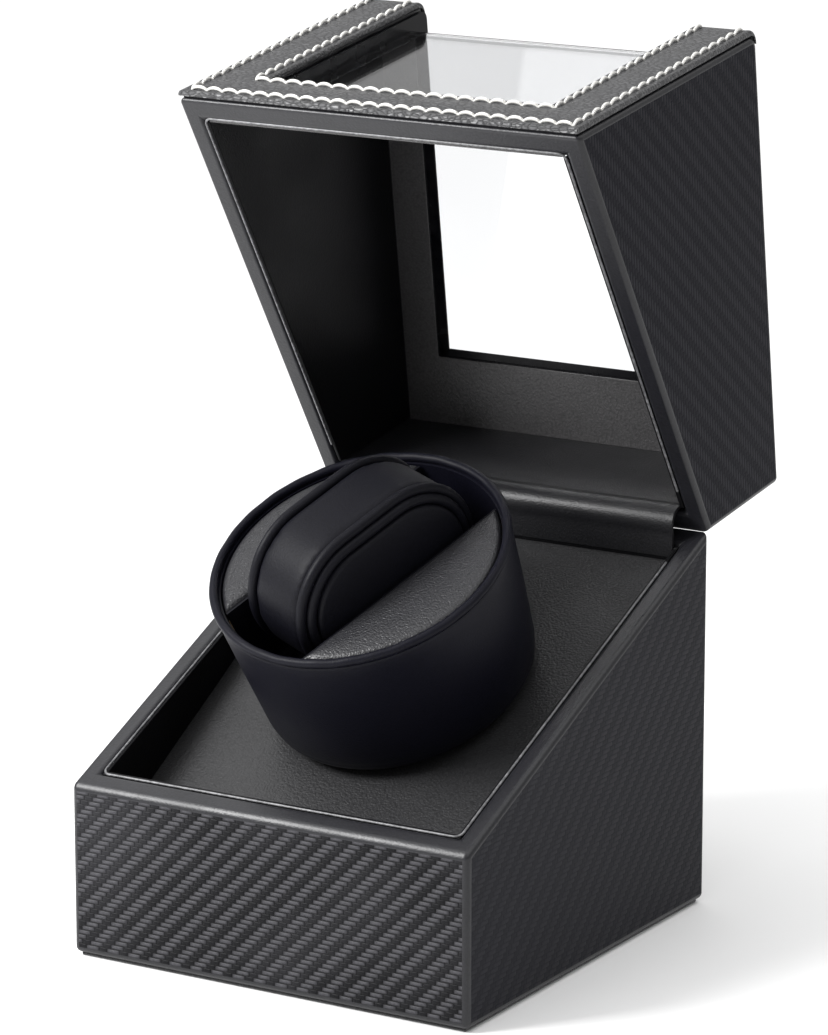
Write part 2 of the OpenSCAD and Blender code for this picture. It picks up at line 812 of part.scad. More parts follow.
module hub_screws() {
    top = cup_z + cup_floor_t + hub_flange_t;
    color(steel) on_deck() hub_screw_places() {
        translate([0, 0, cup_z + 0.4]) cylinder(r = screw_r, h = top - cup_z);
        translate([0, 0, top]) cylinder(r = 2.2, h = 1.4);
    }
}

// ---- cushion ----

// Stadium outline in the barrel's (y, z) plane, stepped in from the cushion's outline.
module cushion_outline(step) {
    r = cushion_h / 2 - step;
    y = cushion_half_l - cushion_h / 2;
    for (s = sides) translate([s * y, 0]) circle(r = r);
    square([2 * y, 2 * r], center = true);
}

module cushion_slice(x0, x1, step) {
    on_barrel() translate([x0, 0, cushion_z + cushion_h / 2]) rotate([90, 0, 90])
        linear_extrude(x1 - x0) cushion_outline(step);
}

module cushion_core() {
    color(soft_leather) cushion_slice(side_disc_t - cushion_half_t, cushion_half_t - side_disc_t, 0);
}

module cushion_side_discs() {
    color(soft_leather) {
        cushion_slice(-cushion_half_t, side_disc_t - cushion_half_t, side_disc_step);
        cushion_slice(cushion_half_t - side_disc_t, cushion_half_t, side_disc_step);
    }
}

underside_felt();
bottom_board();
base_front_wall();
base_back_wall();
base_left_wall();
base_right_wall();
base_front_lining();
base_back_lining();
base_side_linings();
base_magnets();
deck_panel();
deck_battens();
drive_top_plate();
drive_lower_plate();
drive_posts();
bracket_screws();
upper_bush();
lower_bush();
motor_gearbox();
motor_can();
motor_screws();
motor_shaft();
motor_pinion();
control_board();
control_plate();
control_plate_screws();
power_inlet();
power_inlet_pin();
switch_housing();
power_rocker();
selector_body();
selector_shaft();
selector_knob();
hinge_base_leaves();
hinge_pins();
hinge_lid_leaves();
lid_left_wall();
lid_right_wall();
lid_back_wall();
lid_front_bar();
lid_posts();
lid_rails();
lid_rear_bar();
facing_sheet();
window_pane();
lid_side_linings();
lid_back_lining();
lid_magnets();
barrel_cup();
rim_piping();
shoulder_blocks();
shoulder_pads();
slot_floor();
barrel_hub();
hub_screws();
spindle();
spindle_gear();
retaining_clip();
cushion_core();
cushion_side_discs();
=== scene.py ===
import json
import math

import bmesh
import bpy
import numpy as np
from mathutils import Matrix, Vector


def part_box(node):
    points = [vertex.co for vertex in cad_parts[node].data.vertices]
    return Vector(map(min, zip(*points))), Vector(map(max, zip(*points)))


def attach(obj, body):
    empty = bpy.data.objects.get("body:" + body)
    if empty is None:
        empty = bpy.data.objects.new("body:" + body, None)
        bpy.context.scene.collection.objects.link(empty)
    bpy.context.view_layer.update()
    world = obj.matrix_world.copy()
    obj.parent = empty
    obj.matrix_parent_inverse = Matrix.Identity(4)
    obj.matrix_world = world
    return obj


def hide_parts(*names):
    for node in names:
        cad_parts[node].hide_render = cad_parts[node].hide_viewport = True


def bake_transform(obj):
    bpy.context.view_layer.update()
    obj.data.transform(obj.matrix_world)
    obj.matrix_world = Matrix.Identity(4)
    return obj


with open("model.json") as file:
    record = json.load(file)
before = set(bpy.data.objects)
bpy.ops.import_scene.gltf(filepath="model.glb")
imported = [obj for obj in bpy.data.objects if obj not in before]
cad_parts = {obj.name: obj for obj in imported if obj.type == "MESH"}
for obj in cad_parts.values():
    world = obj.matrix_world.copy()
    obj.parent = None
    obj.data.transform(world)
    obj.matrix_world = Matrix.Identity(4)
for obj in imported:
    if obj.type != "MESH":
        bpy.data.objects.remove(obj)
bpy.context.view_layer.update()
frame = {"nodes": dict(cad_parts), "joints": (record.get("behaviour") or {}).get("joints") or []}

# ---- places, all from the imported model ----

JOINTS = {joint["name"]: joint for joint in frame["joints"]}
HINGE = Vector(JOINTS["lid_hinge"]["pos_m"])
LID_SWING = math.radians(JOINTS["lid_hinge"]["range_deg"][1])
OPEN_LID = Matrix.Translation(HINGE) @ Matrix.Rotation(-LID_SWING, 4, "X") @ Matrix.Translation(-HINGE)
SPIN_AT = Vector(JOINTS["barrel_spin"]["pos_m"])
SPIN_AXIS = Vector(JOINTS["barrel_spin"]["axis"])
DECK_SLOPE = math.atan2(-SPIN_AXIS.y, SPIN_AXIS.z)
ON_DECK = Matrix.Translation(SPIN_AT) @ Matrix.Rotation(DECK_SLOPE, 4, "X")
BARREL_TURN = math.radians(22)
ON_BARREL = ON_DECK @ Matrix.Rotation(-BARREL_TURN, 4, "Z")
AS_IT_IS = Matrix.Identity(4)
SIDES = (-1, 1)


def local_box(node, matrix):
    """Lowest and highest corner of a CAD node in the frame that matrix carries to the row frame."""
    back = matrix.inverted()
    points = np.array([back @ v.co for v in frame["nodes"][node].data.vertices])
    return Vector(points.min(0)), Vector(points.max(0))


SIDE_LO, SIDE_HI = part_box("base_left_wall")
HALF_W = -SIDE_LO.x
BOARD = SIDE_HI.x - SIDE_LO.x
INNER_W = HALF_W - BOARD
HALF_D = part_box("base_back_wall")[1].y
INNER_D = HALF_D - BOARD
WALL_FOOT = SIDE_LO.z
CUT_SLOPE = (SIDE_HI.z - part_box("base_front_wall")[1].z) / (2 * INNER_D)
CUT_ANGLE = math.atan(CUT_SLOPE)
LINED_W = local_box("base_side_linings", AS_IT_IS)[1].x - 0.0012
LINED_D = HALF_D - 0.007

POST_LO, POST_HI = local_box("lid_posts", OPEN_LID)
LID_TOP = POST_HI.z
WINDOW_FOOT = POST_LO.z
FRAME_IN_Y = POST_HI.y
FRAME_IN_Z = local_box("lid_rails", OPEN_LID)[0].z
WINDOW_HALF_W = local_box("window_pane", OPEN_LID)[1].x
WINDOW_REAR = local_box("lid_rear_bar", OPEN_LID)[0].y
FACING_LO, FACING_HI = local_box("facing_sheet", OPEN_LID)

CUP_LO, CUP_HI = local_box("barrel_cup", ON_DECK)
CUP_POINTS = [ON_DECK.inverted() @ v.co for v in frame["nodes"]["barrel_cup"].data.vertices]
# the widest point of the cup's lower half lies on its straight taper, above the rounded foot
CUP_BELLY = max((math.hypot(p.x, p.y), p.z) for p in CUP_POINTS if p.z < (CUP_LO.z + CUP_HI.z) / 2)
CUP_FLARE = (CUP_HI.x - CUP_BELLY[0]) / (CUP_HI.z - CUP_BELLY[1])
RIM_HI = local_box("rim_piping", ON_DECK)[1]
PAD_LO, PAD_HI = local_box("shoulder_pads", ON_BARREL)
FLOOR_LO, FLOOR_HI = local_box("slot_floor", ON_BARREL)
CORE_LO, CORE_HI = local_box("cushion_core", ON_BARREL)
DISC_HI = local_box("cushion_side_discs", ON_BARREL)[1]


def cut_z(y):
    """Height of the slanted cut between the base and the lid."""
    return HINGE.z + (y - HALF_D) * CUT_SLOPE


# ---- materials ----

WEAVE = "weave"


class Finish:
    """A material and its node tree, with short calls for the nodes that the finishes share."""

    def __init__(self, name, **constants):
        self.material = bpy.data.materials.new(name)
        self.material.use_nodes = True
        self.nodes = self.material.node_tree.nodes
        self.links = self.material.node_tree.links
        self.surface = self.nodes["Principled BSDF"]
        for socket, value in constants.items():
            self.surface.inputs[socket.replace("_", " ")].default_value = value

    def put(self, socket, value):
        if isinstance(value, bpy.types.NodeSocket):
            self.links.new(value, socket)
        else:
            socket.default_value = value

    def add(self, kind, inputs, output=0, **settings):
        node = self.nodes.new(kind)
        for key, value in settings.items():
            setattr(node, key, value)
        for key, value in inputs.items():
            self.put(node.inputs[key], value)
        return node.outputs[output]

    def math(self, operation, *values, clamp=False):
        return self.add("ShaderNodeMath", dict(enumerate(values)), operation=operation, use_clamp=clamp)

    def ramp(self, value, low, high, to_low=0.0, to_high=1.0):
        """Carries value from low..high to to_low..to_high, and stops at its ends."""
        return self.add("ShaderNodeMapRange", {0: value, 1: low, 2: high, 3: to_low, 4: to_high})

    def blend(self, share, first, second):
        """Mixes two colours, each written as red, green and blue, or a socket."""
        colours = [c if isinstance(c, bpy.types.NodeSocket) else (*c, 1.0) for c in (first, second)]
        return self.add("ShaderNodeMix", {0: share, 6: colours[0], 7: colours[1]}, 2, data_type="RGBA")

    def places(self, stretch=(1, 1, 1), turn=(0, 0, 0)):
        """The piece's own coordinates, stretched and turned."""
        here = self.add("ShaderNodeTexCoord", {}, "Object")
        return self.add("ShaderNodeMapping", {"Vector": here, "Scale": stretch, "Rotation": turn})

    def noise(self, scale, detail=3.0, where=None, roughness=0.5):
        inputs = {"Scale": scale, "Detail": detail, "Roughness": roughness, "Vector": where or self.places()}
        return self.add("ShaderNodeTexNoise", inputs)

    def cells(self, scale, feature="F1", where=None):
        inputs = {"Scale": scale, "Vector": where or self.places()}
        return self.add("ShaderNodeTexVoronoi", inputs, feature=feature)

    def bump(self, height, distance, strength=1.0, below=None):
        inputs = {"Height": height, "Distance": distance, "Strength": strength}
        if below is not None:
            inputs["Normal"] = below
        return self.add("ShaderNodeBump", inputs)

    def wear(self, **sockets):
        """Links the surface's sockets and returns the material."""
        for socket, value in sockets.items():
            self.put(self.surface.inputs[socket.replace("_", " ")], value)
        return self.material


def twill_height(f, row_h, cell_w):
    """Height of the embossed tows, 0 to 1, with ribs that climb one cell a row, and the share of each lit tow, which
    the colour uses for a painted highlight.
    """
    period, lit = 5.0, 3.1
    uv = f.add("ShaderNodeUVMap", {}, uv_map=WEAVE)
    u = f.add("ShaderNodeSeparateXYZ", {0: uv}, 0)
    v = f.add("ShaderNodeSeparateXYZ", {0: uv}, 1)
    rows = f.math("DIVIDE", v, row_h)
    row = f.math("FLOOR", rows)
    across = f.math("SUBTRACT", f.math("MULTIPLY", f.math("FRACT", rows), 2.0), 1.0)
    along = f.math("FLOORED_MODULO", f.math("SUBTRACT", f.math("DIVIDE", u, cell_w), row), period)

    def tow(start, length):
        share = f.math("SUBTRACT", f.math("DIVIDE", f.math("SUBTRACT", along, start), length / 2), 1.0)
        lengthwise = f.math("SUBTRACT", 1.0, f.math("POWER", f.math("ABSOLUTE", share), 3.0), clamp=True)
        crosswise = f.math("SUBTRACT", 1.0, f.math("MULTIPLY", across, across), clamp=True)
        return f.math("SQRT", f.math("MULTIPLY", lengthwise, crosswise))

    bright = tow(0.0, lit)
    return f.math("MAXIMUM", bright, f.math("MULTIPLY", tow(lit, period - lit), 0.5)), bright


def carbon_leather(name, relief, dark, light, gloss):
    """Leather embossed with a carbon-fibre twill, with a painted highlight along its lit tows and painted shade in
    the gaps and on the dim tows.
    """
    f = Finish(name, Specular_IOR_Level=gloss)
    height, bright = twill_height(f, row_h=0.00127, cell_w=0.0013)
    fibres = f.noise(1800, 2.0, f.places((1, 0.25, 1)))
    worn = f.noise(28, 4.0)
    # painted light: tone paints a highlight down the middle of each lit tow, and shade in the gaps and on the dim
    # tows
    tone = f.math("MULTIPLY", f.math("POWER", bright, 1.6), f.ramp(fibres, 0.3, 0.7, 0.6, 1.0))
    colour = f.blend(tone, dark, light)
    colour = f.blend(f.ramp(worn, 0.45, 0.8, 0.0, 0.25), colour, light)
    sheen = f.math("ADD", f.math("MULTIPLY", height, -0.5), f.math("MULTIPLY", fibres, 0.6))
    rough = f.ramp(sheen, -0.4, 0.4, 0.34, 0.52)
    normal = f.bump(height, 0.00035 * relief)
    normal = f.bump(fibres, 0.00004, 0.6, normal)
    return f.wear(Base_Color=colour, Roughness=rough, Normal=normal)


def grained_leather(name, colour, rough, grain, depth, gloss=0.4, creases=0.3):
    """Leather with a fine closed grain: grain is its size, and depth how deep it is pressed."""
    f = Finish(name, Specular_IOR_Level=gloss)
    fine = f.cells(1 / grain, "SMOOTH_F1")
    broad = f.cells(0.35 / grain, "DISTANCE_TO_EDGE")
    cloud = f.noise(45, 4.0)
    pores = f.noise(0.8 / grain, 3.0)
    tone = f.ramp(cloud, 0.3, 0.75, 0.75, 1.25)
    shade = tuple(c * 0.55 for c in colour)
    lit = tuple(min(c * 1.5, 1.0) for c in colour)
    mixed = f.blend(f.math("MULTIPLY", f.ramp(fine, 0.1, 0.7), f.math("MULTIPLY", tone, 0.7)), lit, shade)
    normal = f.bump(fine, depth, 0.8)
    normal = f.bump(f.ramp(broad, 0.0, 0.12), depth * creases, 0.6, normal)
    normal = f.bump(pores, depth * 0.5, 0.5, normal)
    return f.wear(Base_Color=mixed, Roughness=f.ramp(cloud, 0.25, 0.8, rough - 0.06, rough + 0.08), Normal=normal)


def pebble_leather():
    f = Finish("pebble_leather", Specular_IOR_Level=0.5)
    pebbles = f.cells(900, "SMOOTH_F1", f.places((0.55, 1, 1)))
    gaps = f.cells(900, "DISTANCE_TO_EDGE", f.places((0.55, 1, 1)))
    cloud = f.noise(60, 3.0)
    # painted shade: the gaps between the pebbles are painted far darker than their tops
    colour = f.blend(f.ramp(gaps, 0.0, 0.22), (0.008, 0.008, 0.009), (0.060, 0.060, 0.063))
    normal = f.bump(f.ramp(gaps, 0.0, 0.35), 0.00030, 0.9)
    normal = f.bump(pebbles, 0.00012, 0.5, normal)
    return f.wear(Base_Color=colour, Roughness=f.ramp(cloud, 0.3, 0.7, 0.38, 0.5), Normal=normal)


def gloss_trim():
    """Smooth polished edge trim."""
    f = Finish("gloss_trim", Specular_IOR_Level=0.08)
    waves = f.noise(150, 2.0)
    colour = f.blend(f.ramp(waves, 0.4, 0.7), (0.002, 0.002, 0.003), (0.006, 0.006, 0.007))
    return f.wear(Base_Color=colour, Roughness=f.ramp(waves, 0.3, 0.7, 0.16, 0.3), Normal=f.bump(waves, 0.00008, 0.3))


def pale_edge_and_highlight():
    """The cut and polished edge of a lining, painted pale: partly its own colour and partly a painted highlight."""
    f = Finish("pale_edge_and_highlight", Specular_IOR_Level=0.6)
    fray = f.noise(900, 3.0)
    colour = f.blend(f.ramp(fray, 0.35, 0.7), (0.05, 0.05, 0.053), (0.17, 0.17, 0.176))
    return f.wear(Base_Color=colour, Roughness=0.4, Normal=f.bump(fray, 0.00005, 0.5))


def thread():
    """Waxed off-white thread with a fine twist."""
    f = Finish("thread", Specular_IOR_Level=0.35, Sheen_Weight=0.2, Sheen_Roughness=0.4)
    along = f.places((1, 1, 1), (0.5, 0.4, 0.9))
    twist = f.add("ShaderNodeTexWave", {"Vector": along, "Scale": 1500.0, "Distortion": 0.6})
    lint = f.noise(1500, 2.0)
    colour = f.blend(f.ramp(twist, 0.1, 0.6), (0.50, 0.49, 0.46), (0.86, 0.85, 0.82))
    normal = f.bump(lint, 0.00003, 0.5, f.bump(twist, 0.00012, 0.7))
    return f.wear(Base_Color=colour, Roughness=f.ramp(lint, 0.3, 0.7, 0.5, 0.7), Normal=normal)


def felt():
    f = Finish("felt", Specular_IOR_Level=0.15, Sheen_Weight=0.6, Sheen_Roughness=0.5)
    fibres = f.noise(1400, 5.0, roughness=0.7)
    tufts = f.noise(260, 4.0)
    colour = f.blend(f.ramp(fibres, 0.35, 0.7), (0.006, 0.006, 0.007), (0.035, 0.035, 0.037))
    normal = f.bump(f.math("ADD", fibres, tufts), 0.0004, 0.8)
    return f.wear(Base_Color=colour, Roughness=f.ramp(tufts, 0.3, 0.7, 0.85, 0.98), Normal=normal)


def fibreboard():
    f = Finish("fibreboard", Specular_IOR_Level=0.25)
    chips = f.noise(900, 6.0, f.places((1, 0.4, 1)), 0.65)
    stain = f.noise(18, 3.0)
    colour = f.blend(f.ramp(chips, 0.3, 0.7), (0.26, 0.17, 0.10), (0.50, 0.37, 0.24))
    colour = f.blend(f.ramp(stain, 0.4, 0.8, 0.0, 0.35), colour, (0.30, 0.20, 0.12))
    return f.wear(Base_Color=colour, Roughness=f.ramp(chips, 0.3, 0.7, 0.7, 0.88), Normal=f.bump(chips, 0.00015, 0.6))


def metal(name, colour, rough, brushed):
    """Bright metal with fine lines along one way and soft stains."""
    f = Finish(name, Metallic=1.0)
    lines = f.noise(900, 4.0, f.places(brushed))
    stain = f.noise(70, 4.0)
    dull = tuple(c * 0.62 for c in colour)
    mixed = f.blend(f.ramp(stain, 0.4, 0.75, 0.0, 0.5), colour, dull)
    mixed = f.blend(f.ramp(lines, 0.35, 0.7, 0.0, 0.3), mixed, dull)
    turned = f.ramp(f.math("ADD", lines, stain), 0.7, 1.3, rough - 0.07, rough + 0.1)
    return f.wear(Base_Color=mixed, Roughness=turned, Normal=f.bump(lines, 0.00003, 0.5))


def moulded(name, dark, light, rough, grain, depth):
    """Moulded plastic with a spark-etched texture."""
    f = Finish(name, Specular_IOR_Level=0.5)
    etch = f.noise(grain, 3.0)
    flow = f.noise(35, 3.0)
    colour = f.blend(f.ramp(flow, 0.3, 0.75), dark, light)
    etched = f.ramp(etch, 0.3, 0.7, rough - 0.06, rough + 0.06)
    return f.wear(Base_Color=colour, Roughness=etched, Normal=f.bump(etch, depth, 0.6))


def circuit_board():
    """Green solder mask over faint copper tracks."""
    f = Finish("circuit_board", Specular_IOR_Level=0.6, Coat_Weight=0.3, Coat_Roughness=0.2)
    tracks = f.add("ShaderNodeTexBrick", {
        "Vector": f.places((1, 1, 1), (math.pi / 2, 0, 0)), "Scale": 160.0, "Mortar Size": 0.03,
        "Color1": (0.016, 0.12, 0.05, 1), "Color2": (0.02, 0.14, 0.06, 1), "Mortar": (0.05, 0.24, 0.11, 1),
    })
    mottle = f.noise(400, 3.0)
    rough = f.ramp(mottle, 0.3, 0.7, 0.25, 0.4)
    return f.wear(Base_Color=tracks, Roughness=rough, Normal=f.bump(mottle, 0.00003, 0.4))


def acrylic():
    """Clear polished acrylic with a trace of haze from handling."""
    f = Finish("acrylic", Transmission_Weight=1.0, IOR=1.49)
    haze = f.noise(22, 4.0)
    colour = f.blend(f.ramp(haze, 0.4, 0.8), (0.925, 0.93, 0.94), (0.905, 0.91, 0.92))
    return f.wear(Base_Color=colour, Roughness=f.ramp(haze, 0.45, 0.85, 0.0, 0.008))


MATERIALS = {
    "carbon_leather": carbon_leather("carbon_leather", 1.9, (0.005, 0.005, 0.006), (0.066, 0.065, 0.072), 0.10),
    # painted light and shade: carbon_leather is the lit copy for fronts, backs and tops; the side copies are the same
    # leather painted darker, the lid's sides darkest
    "carbon_leather_shaded_side": carbon_leather(
        "carbon_leather_shaded_side", 0.22, (0.007, 0.007, 0.010), (0.013, 0.013, 0.017), 0.07
    ),
    "carbon_leather_shaded_lid_side": carbon_leather(
        "carbon_leather_shaded_lid_side", 0.22, (0.004, 0.004, 0.007), (0.009, 0.009, 0.013), 0.045
    ),
    "smooth_leather": grained_leather("smooth_leather", (0.006, 0.006, 0.007), 0.40, 0.0005, 0.00006, 0.26),
    "edge_leather": grained_leather("edge_leather", (0.008, 0.008, 0.010), 0.37, 0.0006, 0.00004, 0.36),
    # painted shade: the linings are painted darker than the flap's smooth leather, as they sit in shade inside the
    # box
    "shaded_lining_leather": grained_leather("shaded_lining_leather", (0.003, 0.003, 0.0035), 0.45, 0.0005, 0.00005, 0.08),
    "frame_leather": grained_leather("frame_leather", (0.030, 0.029, 0.030), 0.40, 0.0006, 0.00008, 0.45),
    "deck_leather": grained_leather("deck_leather", (0.016, 0.016, 0.017), 0.44, 0.0006, 0.00013, 0.36),
    "pebble_leather": pebble_leather(),
    "barrel_leather": grained_leather("barrel_leather", (0.003, 0.003, 0.006), 0.46, 0.0004, 0.00004, 0.12),
    "pad_leather": grained_leather("pad_leather", (0.013, 0.013, 0.015), 0.40, 0.0005, 0.00020, 0.42),
    "cushion_leather": grained_leather("cushion_leather", (0.003, 0.003, 0.005), 0.50, 0.0005, 0.00004, 0.12),
    "gloss_trim": gloss_trim(),
    "pale_edge_and_highlight": pale_edge_and_highlight(),
    "thread": thread(),
    "felt": felt(),
    "board": fibreboard(),
    "steel": metal("steel", (0.62, 0.62, 0.63), 0.3, (0.1, 1, 1)),
    "brass": metal("brass", (0.72, 0.53, 0.25), 0.26, (1, 0.1, 1)),
    "magnet": metal("magnet", (0.75, 0.75, 0.76), 0.14, (1, 1, 0.3)),
    "nylon": moulded("nylon", (0.72, 0.71, 0.66), (0.83, 0.82, 0.78), 0.45, 700, 0.00004),
    "black_plastic": moulded("black_plastic", (0.010, 0.010, 0.011), (0.022, 0.022, 0.023), 0.42, 1600, 0.00006),
    "rocker_plastic": moulded("rocker_plastic", (0.007, 0.007, 0.007), (0.013, 0.013, 0.013), 0.2, 500, 0.00001),
    "circuit_board": circuit_board(),
    "acrylic": acrylic(),
}


# ---- mesh helpers ----


def shade(mesh):
    """Shades smooth, with true corners kept sharp."""
    mesh.shade_smooth()
    mesh.set_sharp_from_angle(angle=math.radians(38))


def made(name, bm):
    """A new object from a bmesh."""
    bmesh.ops.recalc_face_normals(bm, faces=bm.faces)
    mesh = bpy.data.meshes.new(name)
    bm.to_mesh(mesh)
    bm.free()
    shade(mesh)
    obj = bpy.data.objects.new(name, mesh)
    bpy.context.scene.collection.objects.link(obj)
    return obj


def settle(obj):
    """Applies an object's modifiers to its mesh."""
    bpy.context.view_layer.update()
    graph = bpy.context.evaluated_depsgraph_get()
    mesh = bpy.data.meshes.new_from_object(obj.evaluated_get(graph))
    obj.modifiers.clear()
    obj.data = mesh
    return obj


def prism(name, outline, x0, x1):
    """A solid with a (y, z) outline, from x0 to x1."""
    bm = bmesh.new()
    rings = [[bm.verts.new((x, y, z)) for y, z in outline] for x in (x0, x1)]
    bm.faces.new(rings[0])
    bm.faces.new(rings[1])
    for i, j in zip(range(len(outline)), [*range(1, len(outline)), 0]):
        bm.faces.new((rings[0][i], rings[1][i], rings[1][j], rings[0][j]))
    return made(name, bm)


def oblong(y0, z0, y1, z1):
    """A rectangle's (y, z) outline."""
    return [(y0, z0), (y1, z0), (y1, z1), (y0, z1)]


def drum(name, matrix, radius, length, segments=40):
    """A cylinder centred on matrix's origin, along its Z axis."""
    bm = bmesh.new()
    bmesh.ops.create_cone(
        bm, cap_ends=True, segments=segments, radius1=radius, radius2=radius, depth=length, matrix=matrix
    )
    return made(name, bm)


def joined(name, parts):
    """One object from several, which are removed."""
    bm = bmesh.new()
    for part in parts:
        bm.from_mesh(part.data)
        bpy.data.objects.remove(part)
    return made(name, bm)


def carve(obj, *cutters):
    """Cuts other solids out of an object, and removes them."""
    for cutter in cutters:
        cut = obj.modifiers.new("cut", "BOOLEAN")
        cut.operation = "DIFFERENCE"
        cut.solver = "EXACT"
        cut.object = cutter
        settle(obj)
        bpy.data.objects.remove(cutter)
    return obj


def rounded(obj, width, segments=4, tight=None, tight_share=0.04):
    """Rounds an object's corners. An edge with both ends where tight says so is rounded much less."""
    bm = bmesh.new()
    bm.from_mesh(obj.data)
    weight = bm.edges.layers.float.new("bevel_weight_edge")
    for edge in bm.edges:
        if len(edge.link_faces) == 2 and edge.calc_face_angle(0.0) > math.radians(25):
            edge[weight] = tight_share if tight and all(tight(v.co) for v in edge.verts) else 1.0
    bm.to_mesh(obj.data)
    bm.free()
    bevel = obj.modifiers.new("bevel", "BEVEL")
    bevel.width = width
    bevel.segments = segments
    bevel.limit_method = "WEIGHT"
    settle(obj)
    shade(obj.data)
    return obj


def even(obj):
    """Lets the large faces rule the shading."""
    shade(obj.data)
    weigh = obj.modifiers.new("weigh", "WEIGHTED_NORMAL")
    weigh.keep_sharp = True
    return settle(obj)


def strip(bm, first, second, closed=False):
    """A row of faces between two rows of points."""
    count = len(first)
    for k in range(count if closed else count - 1):
        n = (k + 1) % count
        bm.faces.new((first[k], first[n], second[n], second[k]))


def sweep(bm, points, radii, up, closed=False, sides=10):
    """A tube along points, with a radius for each and its seam towards up."""
    count = len(points)
    rings = []
    for i, point in enumerate(points):
        before = points[i - 1] if closed or i else point
        after = points[(i + 1) % count] if closed or i < count - 1 else point
        tangent = (after - before).normalized()
        across = tangent.cross(up).normalized()
        over = across.cross(tangent)
        turns = [2 * math.pi * k / sides for k in range(sides)]
        rings.append([
            bm.verts.new(point + radii[i] * (math.cos(a) * across + math.sin(a) * over)) for a in turns
        ])
    for i in range(count if closed else count - 1):
        strip(bm, rings[i], rings[(i + 1) % count], closed=True)
    if not closed:
        bm.faces.new(rings[0])
        bm.faces.new(rings[-1])


def lathe(name, profile, steps=128):
    """Turns a closed (r, z) profile about the Z axis."""
    bm = bmesh.new()
    rings = []
    for i in range(steps):
        a = 2 * math.pi * i / steps
        rings.append([bm.verts.new((r * math.cos(a), r * math.sin(a), z)) for r, z in profile])
    for i in range(steps):
        first, second = rings[i], rings[(i + 1) % steps]
        for k in range(len(profile)):
            n = (k + 1) % len(profile)
            bm.faces.new((first[k], second[k], second[n], first[n]))
    return made(name, bm)


def arc(cx, cy, r, a0, a1, steps=8):
    """Points of an arc, with its angles in degrees."""
    turns = [math.radians(a0 + (a1 - a0) * i / steps) for i in range(steps + 1)]
    return [(cx + r * math.cos(a), cy + r * math.sin(a)) for a in turns]


def lay_weave(obj):
    """Lays the leather's own coordinates square to each face, in metres.

    The second material, a copy with painted shade, goes on the sides, and the third on the rounded edges and slanted
    lips.
    """
    layer = obj.data.uv_layers.new(name=WEAVE)
    points = obj.data.vertices
    for face in obj.data.polygons:
        reach = [abs(c) for c in face.normal]
        widest = reach.index(max(reach))
        u, v = ((1, 2), (0, 2), (0, 1))[widest]
        for loop in face.loop_indices:
            co = points[obj.data.loops[loop].vertex_index].co
            layer.data[loop].uv = (co[u], co[v])
        square = max(reach) > math.cos(math.radians(6))
        face.material_index = (1 if widest == 0 else 0) if square else 2


def put(obj, body, finishes, matrix=AS_IT_IS, stands_for=()):
    """Puts a finished piece in its place on a body."""
    obj.data.transform(matrix)
    finish_of_face = [face.material_index for face in obj.data.polygons]
    obj.data.materials.clear()
    for finish in finishes:
        obj.data.materials.append(MATERIALS[finish])
    obj.data.polygons.foreach_set("material_index", finish_of_face)
    if body:
        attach(obj, body)
    if stands_for:
        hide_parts(*stands_for)
    return obj


def soften(node, width):
    """Rounds a CAD node's edges without touching its mesh."""
    obj = frame["nodes"][node]
    weld = obj.modifiers.new("weld", "WELD")
    weld.merge_threshold = 0.00001
    bevel = obj.modifiers.new("bevel", "BEVEL")
    bevel.width = width
    bevel.segments = 3
    bevel.limit_method = "ANGLE"
    bevel.angle_limit = math.radians(32)
    weigh = obj.modifiers.new("weigh", "WEIGHTED_NORMAL")
    weigh.keep_sharp = False


# ---- base and lid shells ----

EDGE_R = 0.0017
LID_GAP = 0.0001  # keeps the closed lid off the base


def on_hinge_line(co):
    """True at the corner where the two shells meet, which stays sharp so that the closed box shows no notch."""
    near = 0.0005
    return abs(co.y - HINGE.y) < near and abs(co.z - HINGE.z) < near


def hinge_room():
    """Solids for the room that the hinge leaves and knuckles need, along the hinge line."""
    tilt = Matrix.Translation(HINGE) @ Matrix.Rotation(CUT_ANGLE, 4, "X")
    outer_x = local_box("hinge_base_leaves", AS_IT_IS)[1].x
    inner_x = min(abs(v.co.x) for v in frame["nodes"]["hinge_base_leaves"].data.vertices)
    gap = 0.0002
    knuckle_r = 0.0023
    reach, over = 0.0052, 0.001
    made_ones = []
    for side in SIDES:
        x0, x1 = sorted((side * (inner_x - gap), side * (outer_x + gap)))
        slot = prism("leaf_room", [(-reach, -over), (over, -over), (over, over), (-reach, over)], x0, x1)
        slot.data.transform(tilt)
        along_x = Matrix.Translation(((x0 + x1) / 2, HINGE.y, HINGE.z)) @ Matrix.Rotation(math.pi / 2, 4, "Y")
        made_ones += [slot, drum("knuckle_room", along_x, knuckle_r, x1 - x0)]
    return made_ones


def control_room():
    """Solids for the holes behind the control plate."""
    made_ones = []
    for node in ("power_inlet", "selector_body"):
        lo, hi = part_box(node)
        middle = (lo + hi) / 2
        across = Matrix.Translation((middle.x, HALF_D, middle.z)) @ Matrix.Rotation(math.pi / 2, 4, "X")
        made_ones.append(drum("round_room", across, 0.0044, 3 * BOARD))
    lo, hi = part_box("switch_housing")
    switch_half_w = 0.0096
    switch_half_h = 0.0065
    middle = (lo + hi) / 2
    outline = oblong(HALF_D - 2 * BOARD, middle.z - switch_half_h, HALF_D + BOARD, middle.z + switch_half_h)
    made_ones.append(prism("switch_room", outline, -switch_half_w, switch_half_w))
    return made_ones


